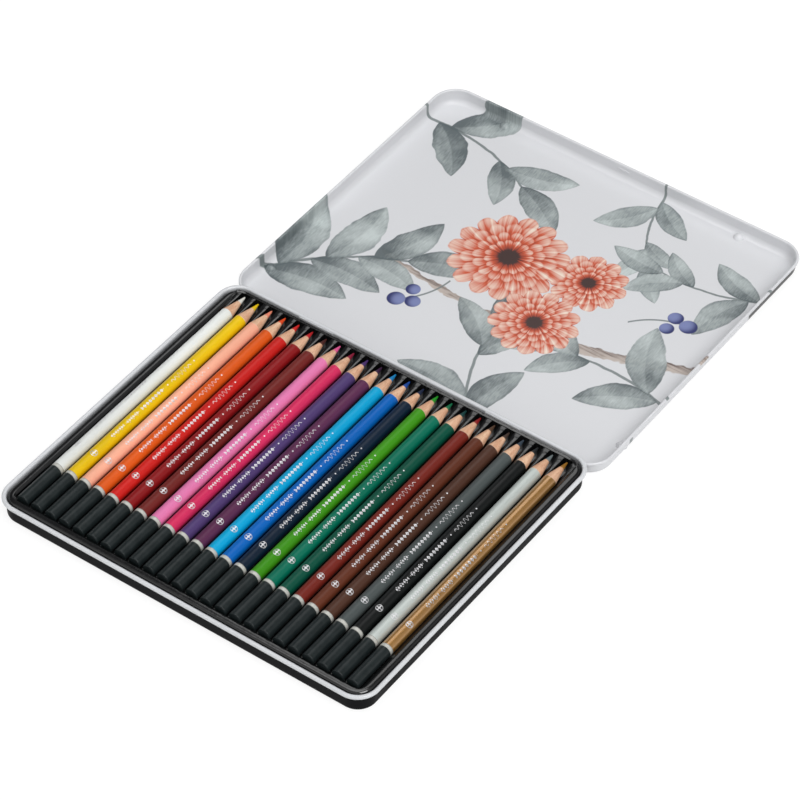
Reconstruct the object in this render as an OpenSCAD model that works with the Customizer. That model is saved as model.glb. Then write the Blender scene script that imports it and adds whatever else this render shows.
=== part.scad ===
// Colored pencil tin: a shallow sheet-metal base with a formed plastic tray and a row of
// round pencils, and a hinged lid laid open behind it.
// The origin is the middle of the base's underside, +X runs along the row of pencils,
// +Y points from the dipped ends to the tips and on to the hinge, and +Z is up.

/* [Pencils] */
// Number of pencils in the row
pencil_count = 24; // [6:1:24]
// Spacing of the pencils, centre to centre
pencil_pitch = 8.55; // [8.2:0.05:10]
// Diameter of a painted barrel
barrel_d = 6.9; // [6:0.1:7.4]
// Length from the dipped end to the tip
pencil_len = 175; // [120:1:200]
// Length of the sharpened cone, from the paint to the tip
cone_len = 15; // [11:0.5:22]
// Diameter of the coloured lead
lead_d = 2.8; // [2:0.1:3.8]
// Diameter of the blunted tip
tip_d = 0.7; // [0.4:0.1:1.2]
// Rounding of the dipped end
end_round = 0.9; // [0.3:0.1:2]
// Depth of the dip that closes the lead's bore
dip_cap = 1; // [0.5:0.1:4]
// Space for glue between lead and wood
glue_gap = 0.03; // [0.02:0.01:0.1]

/* [Tin sheet] */
// Thickness of the tinplate
sheet = 0.3; // [0.22:0.02:0.4]

/* [Base] */
// Height of the base from its underside to the top of its curl
base_h = 12.3; // [11.5:0.1:13.5]
// Corner radius inside the base's walls
base_corner = 10; // [8:0.5:16]
// Outer rounding between the base's floor and walls
base_foot = 2.5; // [1.5:0.1:3.5]
// Diameter of the curled edge of the base
base_curl = 2.3; // [2:0.05:2.6]
// Gap between the end of a rolled edge and its wall
roll_gap = 0.15; // [0.05:0.05:0.25]

/* [Lid] */
// Height of the lid from its face to the top of its curl
lid_h = 9; // [8.4:0.1:9.4]
// Outer rounding between the lid's face and walls
lid_foot = 3.5; // [2:0.1:4]
// Diameter of the curled edge of the lid
lid_curl = 1.6; // [1.4:0.05:1.8]
// Gap round the base's curl when the lid is closed
lid_gap = 0.45; // [0.4:0.05:0.8]
// Space over the pencils when the lid is closed
lid_headroom = 0.5; // [0.3:0.1:1.5]
// Diameter of a stop bump where it leaves the lid's face
bump_d = 5.8; // [4.8:0.1:6.4]
// Space between a stop bump and the base's curl when closed
bump_gap = 0.1; // [0.05:0.01:0.2]
// Distance of the side bumps from the lid's side walls
bump_side = 3.5; // [3:0.1:4]
// Distance of the side bumps from the lid's hinge wall
bump_back = 28; // [20:0.5:60]
// Distance of the front bumps from the lid's middle
bump_out = 73.5; // [20:0.5:90]
// Distance of the front bumps from the lid's front wall
bump_front = 2.9; // [2.7:0.1:3.4]
// Length of the catch dent in the lid's front wall
dent_len = 8; // [4:0.5:20]
// Thickness of the catch dent
dent_d = 2.4; // [1.8:0.1:3]
// How far the catch dent stands in from the wall
dent_in = 0.3; // [0.1:0.05:0.35]
// Space between the catch dent and the base's curl when closed
dent_drop = 0.8; // [0.7:0.1:1.5]

/* [Hinge] */
// Distance of each hinge from the tin's middle
hinge_out = 57; // [20:0.5:80]
// Width of the lid's curled tongue
tongue_w = 15.4; // [6:0.1:24]
// Width of each knuckle of the base's hinge leaf
knuckle_w = 2.4; // [1.6:0.1:5]
// Side gap between tongue and knuckles
knuckle_gap = 0.3; // [0.2:0.05:0.6]
// Gap between the knuckles and the base's wall
hinge_gap = 0.45; // [0.4:0.05:0.5]
// Diameter of the hinge wire
wire_d = 1.5; // [1:0.05:1.6]
// How far a wire's ends stand out of the knuckles
wire_out = 0.6; // [0.2:0.1:2]
// Gap between the lid's hinge wall and the knuckles beside it
notch_gap = 0.3; // [0.2:0.05:0.5]
// How far the lid's hinge wall reaches below the hinge axis
back_reach = 0.85; // [0.5:0.05:0.95]
// How far the plain hinge wall runs into the lid's rounded corners
back_run = 5; // [4.8:0.1:6]
// Height of a leaf's plate above its strips
leaf_h = 5; // [2:0.1:5.4]
// Gap between a leaf and the wall that it lies against
leaf_gap = 0.05; // [0.02:0.01:0.1]

/* [Tray] */
// Thickness of the formed plastic sheet
tray_t = 0.5; // [0.35:0.05:0.6]
// Gap between the tray and the base's walls
tray_gap = 0.65; // [0.6:0.05:1.2]
// Gap under the tray's skirt
tray_foot_gap = 0.05; // [0.02:0.01:0.2]
// Height of the groove sheet's underside above the base's floor
groove_lift = 6.25; // [3:0.05:6.8]
// Height of the tray's rim above the base's floor
tray_h = 11.6; // [11:0.1:12]
// Radius of the rounded rim
rim_r = 1.8; // [1:0.1:1.85]
// Gap between a barrel and its groove
barrel_gap = 0.2; // [0.15:0.05:0.4]
// Height of the ribs between the grooves above the groove sheet's underside
rib_h = 2.75; // [1.5:0.05:3.2]
// Width of the flat land at each side of the row
side_land = 5.1; // [3:0.1:12]
// Gap between the outer pencils and the side lands
row_gap = 1.1; // [0.6:0.1:3]
// Width of the flat land at the dipped ends
front_land = 5.1; // [3:0.1:12]
// Gap between the dipped ends and the front land
end_gap = 0.2; // [0.15:0.05:1]
// Width of the land behind the tips
back_land = 1.9; // [1.9:0.1:6]
// Room in front of each tip
tip_gap = 2; // [1:0.1:5]
// Width of a tip pocket at its round end
pocket_end_w = 4.8; // [3:0.1:6]
// Length of the straight part of a tip pocket
pocket_straight = 3; // [1.5:0.1:6]
// How far a tip pocket reaches along the painted barrel
pocket_lap = 1.2; // [0.5:0.1:6]
// How far the teeth between the pockets stay level from the rim
tooth_flat = 2.7; // [1:0.1:6]

/* [Hidden] */
$fn = 64;
eps = 0.01;
barrel_r = barrel_d / 2;
lead_r = lead_d / 2;
tip_r = tip_d / 2;
groove_r = barrel_r + barrel_gap;
row_w = (pencil_count - 1) * pencil_pitch + barrel_d;
base_w = row_w + 2 * (row_gap + side_land + tray_gap);
base_d = pencil_len + end_gap + front_land + tip_gap + back_land + 2 * tray_gap;
end_y = -base_d / 2 + tray_gap + front_land + end_gap;
tip_y = end_y + pencil_len;
paint_y = tip_y - cone_len;
groove_z = sheet + groove_lift + tray_t;
axis_z = groove_z + groove_r;
// Where the wood of a cone ends and bare lead begins, measured from the dipped end
lead_start = pencil_len - cone_len * (lead_r - tip_r) / (barrel_r - tip_r);
curl_r = base_curl / 2;
closed_h = axis_z + barrel_r + lid_headroom + sheet;
lid_w = base_w + 2 * (base_curl + lid_gap);
lid_d = base_d + 2 * (base_curl + lid_gap);
lid_corner = base_corner + base_curl + lid_gap;
knuckle_r = (base_curl + lid_gap - hinge_gap) / 2;
hinge_y = base_d / 2 + sheet + hinge_gap + knuckle_r;
hinge_z = closed_h / 2;
leaf_w = tongue_w + 2 * (knuckle_gap + knuckle_w);
tray_w = base_w - 2 * tray_gap;
tray_d = base_d - 2 * tray_gap;
tray_corner = base_corner - tray_gap;
tray_top = sheet + tray_h;
// The tray stands in the rounding between the base's floor and walls
foot_in = base_foot - sheet;
tray_foot = base_foot - sqrt(pow(foot_in, 2) - pow(max(0, foot_in - tray_gap), 2)) + tray_foot_gap;
groove_foot = sheet + groove_lift;
rib_z = groove_foot + rib_h;
pit_w = row_w + 2 * row_gap;
pit_front = end_y - end_gap;
pit_back = tip_y + tip_gap;
teeth_front = paint_y - pocket_lap;
hues = [
    "ghostwhite", "gold", "lightsalmon", "orangered", "crimson", "firebrick", "maroon", "hotpink",
    "deeppink", "rebeccapurple", "purple", "deepskyblue", "dodgerblue", "midnightblue", "limegreen",
    "seagreen", "darkgreen", "brown", "sienna", "saddlebrown", "darkslategray", "black", "silver",
    "goldenrod"
];
hue_words = [
    "white", "yellow", "peach", "orange", "red", "dark_red", "maroon", "pink", "magenta", "violet",
    "plum", "cyan", "blue", "navy", "light_green", "emerald", "dark_green", "brick_red", "brown",
    "dark_brown", "slate_grey", "black", "silver", "gold"
];
function two(n) = str(n < 10 ? "0" : "", n);
function barrel_name(k) = str("pencil_", two(k + 1), "_", hue_words[k]);
function lead_name(k) = str("lead_", two(k + 1), "_", hue_words[k]);
function pencil_x(k) = (k - (pencil_count - 1) / 2) * pencil_pitch;

// Flat ring between two radii
module ring(outer_r, inner_r) {
    difference() {
        circle(r = outer_r);
        circle(r = inner_r);
    }
}

// Rectangle with round corners, about the middle
module round_rect(w, d, r) {
    square([w - 2 * r, d], center = true);
    square([w, d - 2 * r], center = true);
    for (sx = [-1, 1])
        for (sy = [-1, 1])
            translate([sx * (w / 2 - r), sy * (d / 2 - r)]) circle(r = r);
}

// Carries a wall section round a rectangle; the section's x is measured from the corner centres
module round_the_walls(w, d, r) {
    long = [d - 2 * r, w - 2 * r, d - 2 * r, w - 2 * r];
    out = [w / 2 - r, d / 2 - r, w / 2 - r, d / 2 - r];
    for (side = [0 : 3])
        rotate([0, 0, 90 * side])
            translate([out[side], long[side] / 2, 0]) {
                rotate([90, 0, 0]) linear_extrude(long[side]) children();
                rotate_extrude(angle = 90) children();
            }
}

// Section of a drawn pan: half floor, rounded foot and wall up to the curl's middle
module pan_section(r, h, foot, curl) {
    square([r + sheet - foot, sheet]);
    translate([r + sheet - foot, foot])
        intersection() {
            ring(foot, foot - sheet);
            translate([0, -foot]) square(foot);
        }
    translate([r, foot]) square([sheet, h - foot - curl / 2]);
}

// Section of the curled edge, rolled outwards from the wall's inner face till it nears the wall
module curl_section(r, h, curl) {
    translate([r + curl / 2, h - curl / 2])
        difference() {
            ring(curl / 2, curl / 2 - sheet);
            translate([-curl / 2, -curl / 2]) square([sheet + roll_gap, curl / 2]);
        }
}

// Runs its children at each hinge, with the hinge's own middle at x = 0
module at_hinge(side) {
    translate([side * hinge_out, hinge_y, hinge_z]) children();
}

// Tube along X about the hinge axis
module knuckle(w) {
    rotate([90, 0, 90]) linear_extrude(w, center = true) ring(knuckle_r, knuckle_r - sheet);
}

// Places of the two knuckles of one leaf, from the hinge's middle
function knuckle_x(end) = end * (tongue_w / 2 + knuckle_gap + knuckle_w / 2);

module base_pan() {
    color("dimgray")
        difference() {
            union() {
                round_the_walls(base_w, base_d, base_corner) {
                    pan_section(base_corner, base_h, base_foot, base_curl);
                }
                round_the_walls(base_w, base_d, base_corner) {
                    curl_section(base_corner, base_h, base_curl);
                }
                linear_extrude(sheet)
                    square([base_w - 2 * base_corner, base_d - 2 * base_corner], center = true);
            }
            for (side = [-1, 1])
                for (end = [-1, 1])
                    at_hinge(side)
                        translate([knuckle_x(end), -knuckle_r - hinge_gap, -knuckle_r + sheet / 2])
                            cube([knuckle_w + 2 * leaf_gap, 4 * sheet, sheet + 2 * leaf_gap],
                                 center = true);
        }
}

// Plate inside the wall, with two strips that pass through slots and roll round the wire
module hinge_leaf(side) {
    plate_y = -knuckle_r - hinge_gap - sheet - leaf_gap;
    color("whitesmoke")
        at_hinge(side) {
            translate([-leaf_w / 2, plate_y - sheet, -knuckle_r]) cube([leaf_w, sheet, leaf_h]);
            for (end = [-1, 1])
                translate([knuckle_x(end), 0, 0]) {
                    knuckle(knuckle_w);
                    translate([-knuckle_w / 2, plate_y - sheet, -knuckle_r])
                        cube([knuckle_w, -plate_y + sheet, sheet]);
                }
        }
}

module hinge_wire(side) {
    color("silver")
        at_hinge(side)
            rotate([0, 90, 0]) cylinder(d = wire_d, h = leaf_w + 2 * wire_out, center = true);
}

// Round bump of the lid's face, hollow from below
module bump(r_shift) {
    cap_h = closed_h - base_h - bump_gap - sheet;
    ball_r = (bump_d * bump_d / 4 + cap_h * cap_h) / (2 * cap_h);
    translate([0, 0, sheet + cap_h - ball_r]) sphere(r = ball_r - r_shift);
}

// Runs its children at the four stop bumps of the lid
module at_bumps() {
    for (sx = [-1, 1]) {
        translate([sx * (lid_w / 2 - bump_side), -lid_d / 2 + bump_back, 0]) children();
        translate([sx * bump_out, lid_d / 2 - bump_front, 0]) children();
    }
}

// Long dent in the lid's front wall that catches under the base's curl
module dent(shrink) {
    dent_r = dent_d / 2;
    catch_z = closed_h - (base_h - base_curl) + dent_drop;
    translate([0, lid_d / 2 + dent_r - dent_in, catch_z]) {
        rotate([0, 90, 0]) cylinder(r = dent_r - shrink, h = dent_len - dent_d, center = true);
        for (sx = [-1, 1])
            translate([sx * (dent_len - dent_d) / 2, 0, 0]) sphere(r = dent_r - shrink);
    }
}

// The lid about its own middle, face down, with its hinge wall towards -Y
module lid_shell() {
    plain_w = lid_w - 2 * lid_corner + 2 * back_run;
    back_top = hinge_z + back_reach;
    union() {
        difference() {
            union() {
                round_the_walls(lid_w, lid_d, lid_corner) {
                    pan_section(lid_corner, lid_h, lid_foot, lid_curl);
                }
                linear_extrude(sheet)
                    square([lid_w - 2 * lid_corner, lid_d - 2 * lid_corner], center = true);
                intersection() {
                    at_bumps() bump(0);
                    translate([0, 0, lid_foot])
                        cube([lid_w + sheet, lid_d + sheet, 2 * lid_foot], center = true);
                }
                intersection() {
                    dent(0);
                    translate([-dent_len, lid_d / 2 - dent_d, 0]) cube([2 * dent_len, dent_d + sheet, lid_h]);
                }
            }
            at_bumps() bump(sheet);
            dent(sheet);
            translate([-plain_w / 2, -lid_d / 2 - lid_curl - eps, back_top])
                cube([plain_w, lid_corner, lid_h]);
        }
        difference() {
            round_the_walls(lid_w, lid_d, lid_corner) {
                curl_section(lid_corner, lid_h, lid_curl);
            }
            translate([-plain_w / 2, -lid_d / 2 - lid_curl - eps, 0])
                cube([plain_w, lid_corner, lid_h + eps]);
        }
    }
}

module lid_pan() {
    notch_r = knuckle_r + notch_gap;
    notch_w = knuckle_w + 2 * knuckle_gap;
    color("gainsboro") {
        difference() {
            translate([0, 2 * hinge_y, 0]) lid_shell();
            for (side = [-1, 1])
                at_hinge(side) {
                    // Room for the base's knuckles and their strips
                    for (end = [-1, 1])
                        translate([knuckle_x(end) - notch_w / 2, -notch_r, -notch_r])
                            cube([notch_w, 2 * notch_r, lid_h]);
                    // The wall between them is rolled round the wire
                    translate([-tongue_w / 2, -notch_r, 0]) cube([tongue_w, 2 * notch_r, lid_h]);
                    rotate([0, 90, 0]) cylinder(r = knuckle_r - sheet / 2, h = tongue_w, center = true);
                }
        }
        for (side = [-1, 1])
            at_hinge(side) knuckle(tongue_w);
    }
}

// Section of the tray's skirt and rounded rim
module rim_section() {
    r = tray_corner;
    translate([r - tray_t, tray_foot]) square([tray_t, tray_top - rim_r - tray_foot]);
    translate([r - rim_r, tray_top - rim_r])
        intersection() {
            ring(rim_r, rim_r - tray_t);
            square(rim_r);
        }
}

// Plan of one tip pocket, grown on all sides
module pocket_plan(grow) {
    half = groove_r + grow;
    end_r = pocket_end_w / 2 + grow;
    straight_y = teeth_front + pocket_straight;
    round_y = pit_back - pocket_end_w / 2;
    translate([0, round_y]) circle(r = end_r);
    polygon([
        [-half, teeth_front - tray_t], [half, teeth_front - tray_t], [half, straight_y],
        [end_r, round_y], [-end_r, round_y], [-half, straight_y]
    ]);
}

module pockets(grow, from_z) {
    for (k = [0 : pencil_count - 1])
        translate([pencil_x(k), 0, from_z]) linear_extrude(tray_top) pocket_plan(grow);
}

// Wedge that carries the teeth, with its sloping top let down by a drop
module teeth_wedge(drop, half_w) {
    translate([-half_w, 0, 0])
        rotate([90, 0, 90])
            linear_extrude(2 * half_w)
                polygon([
                    [teeth_front, groove_foot - (drop > 0 ? tray_t : 0)],
                    [pit_back + tray_t - drop, groove_foot - (drop > 0 ? tray_t : 0)],
                    [pit_back + tray_t - drop, tray_top - drop], [pit_back - tooth_flat, tray_top - drop],
                    [teeth_front, rib_z - drop]
                ]);
}

// Scalloped sheet under the barrels
module groove_section() {
    intersection() {
        difference() {
            union() {
                for (k = [0 : pencil_count - 1])
                    translate([pencil_x(k), axis_z]) circle(r = groove_r + tray_t);
                translate([-pit_w / 2 - tray_t, rib_z - tray_t]) square([pit_w + 2 * tray_t, tray_t]);
            }
            for (k = [0 : pencil_count - 1])
                translate([pencil_x(k), axis_z]) circle(r = groove_r);
        }
        translate([-pit_w, 0]) square([2 * pit_w, rib_z]);
    }
}

module tray() {
    pit_d = pit_back - pit_front;
    pit_mid = (pit_back + pit_front) / 2;
    color("black") {
        round_the_walls(tray_w, tray_d, tray_corner) {
            rim_section();
        }
        // Level land between the rounded rim and the pit
        translate([0, 0, tray_top - tray_t])
            linear_extrude(tray_t)
                difference() {
                    round_rect(tray_w - 2 * rim_r, tray_d - 2 * rim_r, tray_corner - rim_r);
                    translate([0, pit_mid]) square([pit_w, pit_d], center = true);
                }
        // Walls of the pit
        translate([0, pit_mid, groove_foot])
            linear_extrude(tray_top - groove_foot)
                difference() {
                    square([pit_w + 2 * tray_t, pit_d + 2 * tray_t], center = true);
                    square([pit_w, pit_d], center = true);
                }
        translate([0, teeth_front, 0])
            rotate([90, 0, 0]) linear_extrude(teeth_front - pit_front + tray_t / 2) groove_section();
        difference() {
            teeth_wedge(0, pit_w / 2 + tray_t / 2);
            pockets(0, groove_z);
            difference() {
                teeth_wedge(tray_t, pit_w / 2 - tray_t);
                pockets(tray_t, 0);
            }
        }
    }
}

// Half section of the wooden barrel, with the dipped end at zero
module barrel_section() {
    bore = lead_r + glue_gap;
    difference() {
        union() {
            translate([barrel_r - end_round, end_round]) circle(r = end_round);
            square([barrel_r - end_round, end_round]);
            polygon([
                [0, end_round], [barrel_r, end_round], [barrel_r, pencil_len - cone_len],
                [lead_r, lead_start], [0, lead_start]
            ]);
        }
        translate([0, dip_cap]) square([bore, pencil_len]);
    }
}

module barrel(k) {
    color(hues[k])
        translate([pencil_x(k), end_y, axis_z])
            rotate([-90, 0, 0]) rotate_extrude() barrel_section();
}

module lead(k) {
    color(hues[k])
        translate([pencil_x(k), end_y, axis_z])
            rotate([-90, 0, 0])
                rotate_extrude()
                    polygon([
                        [0, dip_cap + glue_gap], [lead_r, dip_cap + glue_gap], [lead_r, lead_start],
                        [tip_r, pencil_len], [0, pencil_len]
                    ]);
}

base_pan();
hinge_leaf(-1);  // hinge_leaf_left
hinge_leaf(1);  // hinge_leaf_right
hinge_wire(-1);  // hinge_wire_left
hinge_wire(1);  // hinge_wire_right
lid_pan();
tray();
for (k = [0 : pencil_count - 1]) {
    barrel(k);
    lead(k);
}
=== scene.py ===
"""Colored pencil tin, dressed for rendering.

A black and white tin with a formed black tray, twenty-four round pencils and a printed lid
laid open behind it. Sizes are in metres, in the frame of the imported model.
"""
import logging
import math
from dataclasses import dataclass, field
from enum import Enum
from itertools import pairwise
from typing import Callable, Iterable, Sequence

import bmesh
import bpy
from bmesh.types import BMEdge, BMesh, BMFace, BMVert
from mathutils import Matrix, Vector, noise


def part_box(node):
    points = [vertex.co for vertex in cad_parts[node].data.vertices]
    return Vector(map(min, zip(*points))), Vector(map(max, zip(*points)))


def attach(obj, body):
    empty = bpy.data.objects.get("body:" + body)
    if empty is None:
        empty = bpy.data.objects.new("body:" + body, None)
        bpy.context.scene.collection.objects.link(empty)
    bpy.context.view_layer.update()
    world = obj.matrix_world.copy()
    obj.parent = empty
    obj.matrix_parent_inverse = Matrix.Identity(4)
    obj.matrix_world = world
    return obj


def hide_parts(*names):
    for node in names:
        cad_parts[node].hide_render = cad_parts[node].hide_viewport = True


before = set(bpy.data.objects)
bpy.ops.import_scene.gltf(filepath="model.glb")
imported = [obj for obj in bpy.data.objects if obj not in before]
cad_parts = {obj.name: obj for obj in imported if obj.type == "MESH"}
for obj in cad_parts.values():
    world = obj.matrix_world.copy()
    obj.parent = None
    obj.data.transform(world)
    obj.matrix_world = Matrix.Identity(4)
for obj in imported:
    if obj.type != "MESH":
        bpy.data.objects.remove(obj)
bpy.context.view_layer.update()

LOG = logging.getLogger("pencil_tin")
MERGE = 1e-6
Colour = tuple[float, float, float, float]
Point = tuple[float, float]


def srgb(red: int, green: int, blue: int) -> Colour:
    """Turns a screen colour into the linear colour that a shader takes.

    Args:
        red: Red, 0 to 255.
        green: Green, 0 to 255.
        blue: Blue, 0 to 255.

    Returns:
        The linear colour with full alpha.
    """

    def linear(level: int) -> float:
        """Undoes the screen curve for one channel."""
        share = level / 255
        return share / 12.92 if share <= 0.04045 else ((share + 0.055) / 1.055) ** 2.4

    return linear(red), linear(green), linear(blue), 1.0


def grey(level: float) -> Colour:
    """Makes a linear grey."""
    return level, level, level, 1.0


def shade(colour: Colour, share: float) -> Colour:
    """Makes a colour darker or lighter by a factor."""
    return tuple(min(1.0, share * level) for level in colour[:3]) + (1.0,)


# Shader graph


class Signal:
    """A number that runs through a shader graph; its arithmetic adds Math nodes."""

    def __init__(self, graph: "Graph", socket: bpy.types.NodeSocket) -> None:
        """Keeps the graph and the socket that carries the number."""
        self.graph = graph
        self.socket = socket

    def op(self, operation: str, *others: "Signal | float") -> "Signal":
        """Applies one Math node to this number and the others."""
        return self.graph.maths(operation, self, *others)

    def __add__(self, other: "Signal | float") -> "Signal":
        """Sum."""
        return self.op("ADD", other)

    def __sub__(self, other: "Signal | float") -> "Signal":
        """Difference."""
        return self.op("SUBTRACT", other)

    def __mul__(self, other: "Signal | float") -> "Signal":
        """Product."""
        return self.op("MULTIPLY", other)

    def __truediv__(self, other: "Signal | float") -> "Signal":
        """Quotient."""
        return self.op("DIVIDE", other)

    def __abs__(self) -> "Signal":
        """Size without sign."""
        return self.op("ABSOLUTE")

    def sin(self) -> "Signal":
        """Sine."""
        return self.op("SINE")

    def rest(self) -> "Signal":
        """What the number lacks to one."""
        return self * -1.0 + 1.0

    def most(self, other: "Signal | float") -> "Signal":
        """Larger of two numbers."""
        return self.op("MAXIMUM", other)

    def within(self) -> "Signal":
        """One from 0 to 1, with narrow soft ends."""
        return abs(self - 0.5).fade(0.499, 0.501)

    def fade(self, full: float, none: float) -> "Signal":
        """Goes smoothly from one at the first level to zero at the second."""
        return self.graph.spread(self, full, none, 1.0, 0.0, smooth=True)


class Graph:
    """Adds nodes to one material, node group or world."""

    def __init__(self, tree: bpy.types.NodeTree) -> None:
        """Keeps the tree that the nodes go into."""
        self.tree = tree
        self.home: bpy.types.NodeSocket | None = None

    def add(self, kind: str, **settings: object) -> bpy.types.Node:
        """Adds a node.

        Args:
            kind: Node type without its ShaderNode prefix.
            settings: Attributes to set on the node.

        Returns:
            The new node.
        """
        node = self.tree.nodes.new("ShaderNode" + kind)
        for key, value in settings.items():
            setattr(node, key, value)
        return node

    def feed(self, socket: bpy.types.NodeSocket, value: object) -> None:
        """Links a signal or socket to an input, or sets the input's own value.

        Args:
            socket: The input.
            value: A signal, a socket or a constant.
        """
        if isinstance(value, Signal):
            self.tree.links.new(value.socket, socket)
        elif isinstance(value, bpy.types.NodeSocket):
            self.tree.links.new(value, socket)
        else:
            socket.default_value = value

    def wire(self, kind: str, *values: object, **settings: object) -> Signal:
        """Adds a node and feeds its inputs in order.

        Args:
            kind: Node type without its ShaderNode prefix.
            values: Values or signals for its first inputs.
            settings: Attributes to set on the node.

        Returns:
            Its first output.
        """
        node = self.add(kind, **settings)
        for socket, value in zip(node.inputs, values):
            self.feed(socket, value)
        return Signal(self, node.outputs[0])

    def dress(self, shader: bpy.types.Node, **values: object) -> None:
        """Feeds a shader's inputs by name, with underscores for spaces."""
        for key, value in values.items():
            self.feed(shader.inputs[key.replace("_", " ")], value)

    def maths(self, operation: str, *values: object) -> Signal:
        """Adds a Math node with the given inputs."""
        return self.wire("Math", *values, operation=operation)

    def spread(
        self, value: Signal, low: float, high: float, to_low: float, to_high: float, smooth: bool = False
    ) -> Signal:
        """Maps a range of a number onto another range.

        Args:
            value: The number.
            low: Start of its range.
            high: End of its range.
            to_low: Result at the start.
            to_high: Result at the end.
            smooth: Whether the ends are eased.

        Returns:
            The mapped number, held at the ends.
        """
        kind = "SMOOTHSTEP" if smooth else "LINEAR"
        limits = (low, high, to_low, to_high)
        return self.wire("MapRange", value, *limits, interpolation_type=kind, clamp=not smooth)

    def place(
        self,
        shift: Sequence[float] = (0, 0, 0),
        turn: float = 0.0,
        scale: Sequence[float] = (1, 1, 1),
        kind: str = "POINT",
    ) -> bpy.types.NodeSocket:
        """Gives Object coordinates through a Mapping node.

        Args:
            shift: Location of the mapping.
            turn: Rotation about Z in radians.
            scale: Scale of the mapping.
            kind: POINT, or TEXTURE where the numbers say where the pattern sits.

        Returns:
            The mapped vector's socket.
        """
        self.home = self.home or self.add("TexCoord").outputs["Object"]
        return self.wire("Mapping", self.home, shift, (0, 0, turn), scale, vector_type=kind).socket

    def axes(self, vector: bpy.types.NodeSocket) -> tuple[Signal, Signal, Signal]:
        """Splits a vector into its three numbers.

        Args:
            vector: Socket of the vector.

        Returns:
            Its X, Y and Z.
        """
        node = self.add("SeparateXYZ")
        self.feed(node.inputs[0], vector)
        return tuple(Signal(self, out) for out in node.outputs)

    def noise(self, vector: object, scale: float, detail: float = 2.0, rough: float = 0.5) -> Signal:
        """Adds a Noise texture.

        Args:
            vector: Coordinates.
            scale: Cells per metre of those coordinates.
            detail: Octaves.
            rough: Share of the finer octaves.

        Returns:
            The noise, about 0.5.
        """
        node = self.add("TexNoise")
        self.dress(node, Vector=vector, Scale=scale, Detail=detail, Roughness=rough)
        return Signal(self, node.outputs[0])

    def blend(self, factor: object, first: object, second: object) -> bpy.types.NodeSocket:
        """Mixes two colours.

        Args:
            factor: Share of the second colour.
            first: First colour or its socket.
            second: Second colour or its socket.

        Returns:
            The mixed colour's socket.
        """
        node = self.add("Mix", data_type="RGBA")
        for index, value in zip((0, 6, 7), (factor, first, second)):
            self.feed(node.inputs[index], value)
        return node.outputs[2]

    def mottle(
        self, pattern: Signal, reach: Point, first: object, second: object, most: float = 1.0
    ) -> bpy.types.NodeSocket:
        """Mixes two colours by a pattern.

        Args:
            pattern: Pattern's signal.
            reach: Its levels where the second colour starts and is fullest.
            first: First colour or its socket.
            second: Second colour or its socket.
            most: Fullest share of the second colour.

        Returns:
            The mixed colour's socket.
        """
        return self.blend(self.spread(pattern, *reach, 0, most), first, second)

    def relief(self, height: Signal, depth: float, strength: float = 1.0) -> bpy.types.NodeSocket:
        """Adds a Bump node.

        Args:
            height: Height signal.
            depth: Distance in metres that one unit of height stands for.
            strength: Strength of the bump.

        Returns:
            The bumped normal's socket.
        """
        node = self.add("Bump")
        self.dress(node, Strength=strength, Distance=depth, Height=height)
        return node.outputs[0]


def new_material(name: str, **sockets: object) -> tuple[bpy.types.Material, Graph, bpy.types.Node]:
    """Makes a material with one Principled shader.

    Args:
        name: Name of the material.
        sockets: Constant values by socket name, with underscores for spaces.

    Returns:
        The material, its graph and its shader node.
    """
    material = bpy.data.materials.new(name)
    material.use_nodes = True
    graph = Graph(material.node_tree)
    shader = material.node_tree.nodes["Principled BSDF"]
    graph.dress(shader, **sockets)
    return material, graph, shader


# Finishes


@dataclass(frozen=True)
class TinEnamel:
    """Baked paint on tinplate: a plain coat with a faint orange peel and handling marks."""

    name: str
    colour: Colour
    roughness: float = 0.34
    peel: float = 0.00002
    specular: float = 0.5
    coat: float = 0.25

    def make(self) -> bpy.types.Material:
        """Makes the material.

        Returns:
            The material.
        """
        material, graph, shader = new_material(
            self.name, IOR=1.5, Specular_IOR_Level=self.specular, Coat_Weight=self.coat, Coat_Roughness=0.12
        )
        where = graph.place()
        tone = graph.noise(where, 14, 3)
        smear = graph.noise(graph.place(scale=(30, 90, 60)), 1.0, 4, 0.6)
        graph.dress(
            shader,
            Base_Color=graph.mottle(tone, (0.35, 0.65), self.colour, shade(self.colour, 0.93)),
            Roughness=graph.spread(smear, 0.3, 0.7, self.roughness - 0.05, self.roughness + 0.08),
            Normal=graph.relief(graph.noise(where, 900, 2), self.peel),
        )
        return material


@dataclass(frozen=True)
class MouldedPlastic:
    """Glossy black sheet plastic, formed hot, with slight waves from the mould."""

    name: str = "tray_gloss_black"

    def make(self) -> bpy.types.Material:
        """Makes the material.

        Returns:
            The material.
        """
        material, graph, shader = new_material(self.name, IOR=1.52, Specular_IOR_Level=0.8)
        where = graph.place()
        cloud, scuff = graph.noise(where, 60, 3), graph.noise(where, 350, 5, 0.65)
        waves = graph.noise(where, 160, 2) + graph.noise(where, 620, 2) * 0.25
        graph.dress(
            shader,
            Base_Color=graph.mottle(cloud, (0.35, 0.7), srgb(8, 8, 9), srgb(18, 19, 20)),
            Roughness=graph.spread(scuff, 0.35, 0.75, 0.11, 0.18),
            Normal=graph.relief(waves, 0.00008, strength=0.6),
        )
        return material


@dataclass(frozen=True)
class DipCoat:
    """Dark slate dip on the end of a pencil, thick satin lacquer."""

    name: str = "dip_slate"

    def make(self) -> bpy.types.Material:
        """Makes the material.

        Returns:
            The material.
        """
        material, graph, shader = new_material(self.name, IOR=1.46, Specular_IOR_Level=0.35)
        where = graph.place()
        tone = graph.noise(where, 220, 3)
        graph.dress(
            shader,
            Base_Color=graph.mottle(tone, (0.35, 0.65), srgb(26, 33, 34), srgb(33, 40, 41)),
            Roughness=graph.spread(graph.noise(where, 500, 3), 0.3, 0.7, 0.29, 0.34),
            Normal=graph.relief(graph.noise(where, 400, 2), 0.00002),
        )
        return material


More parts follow.
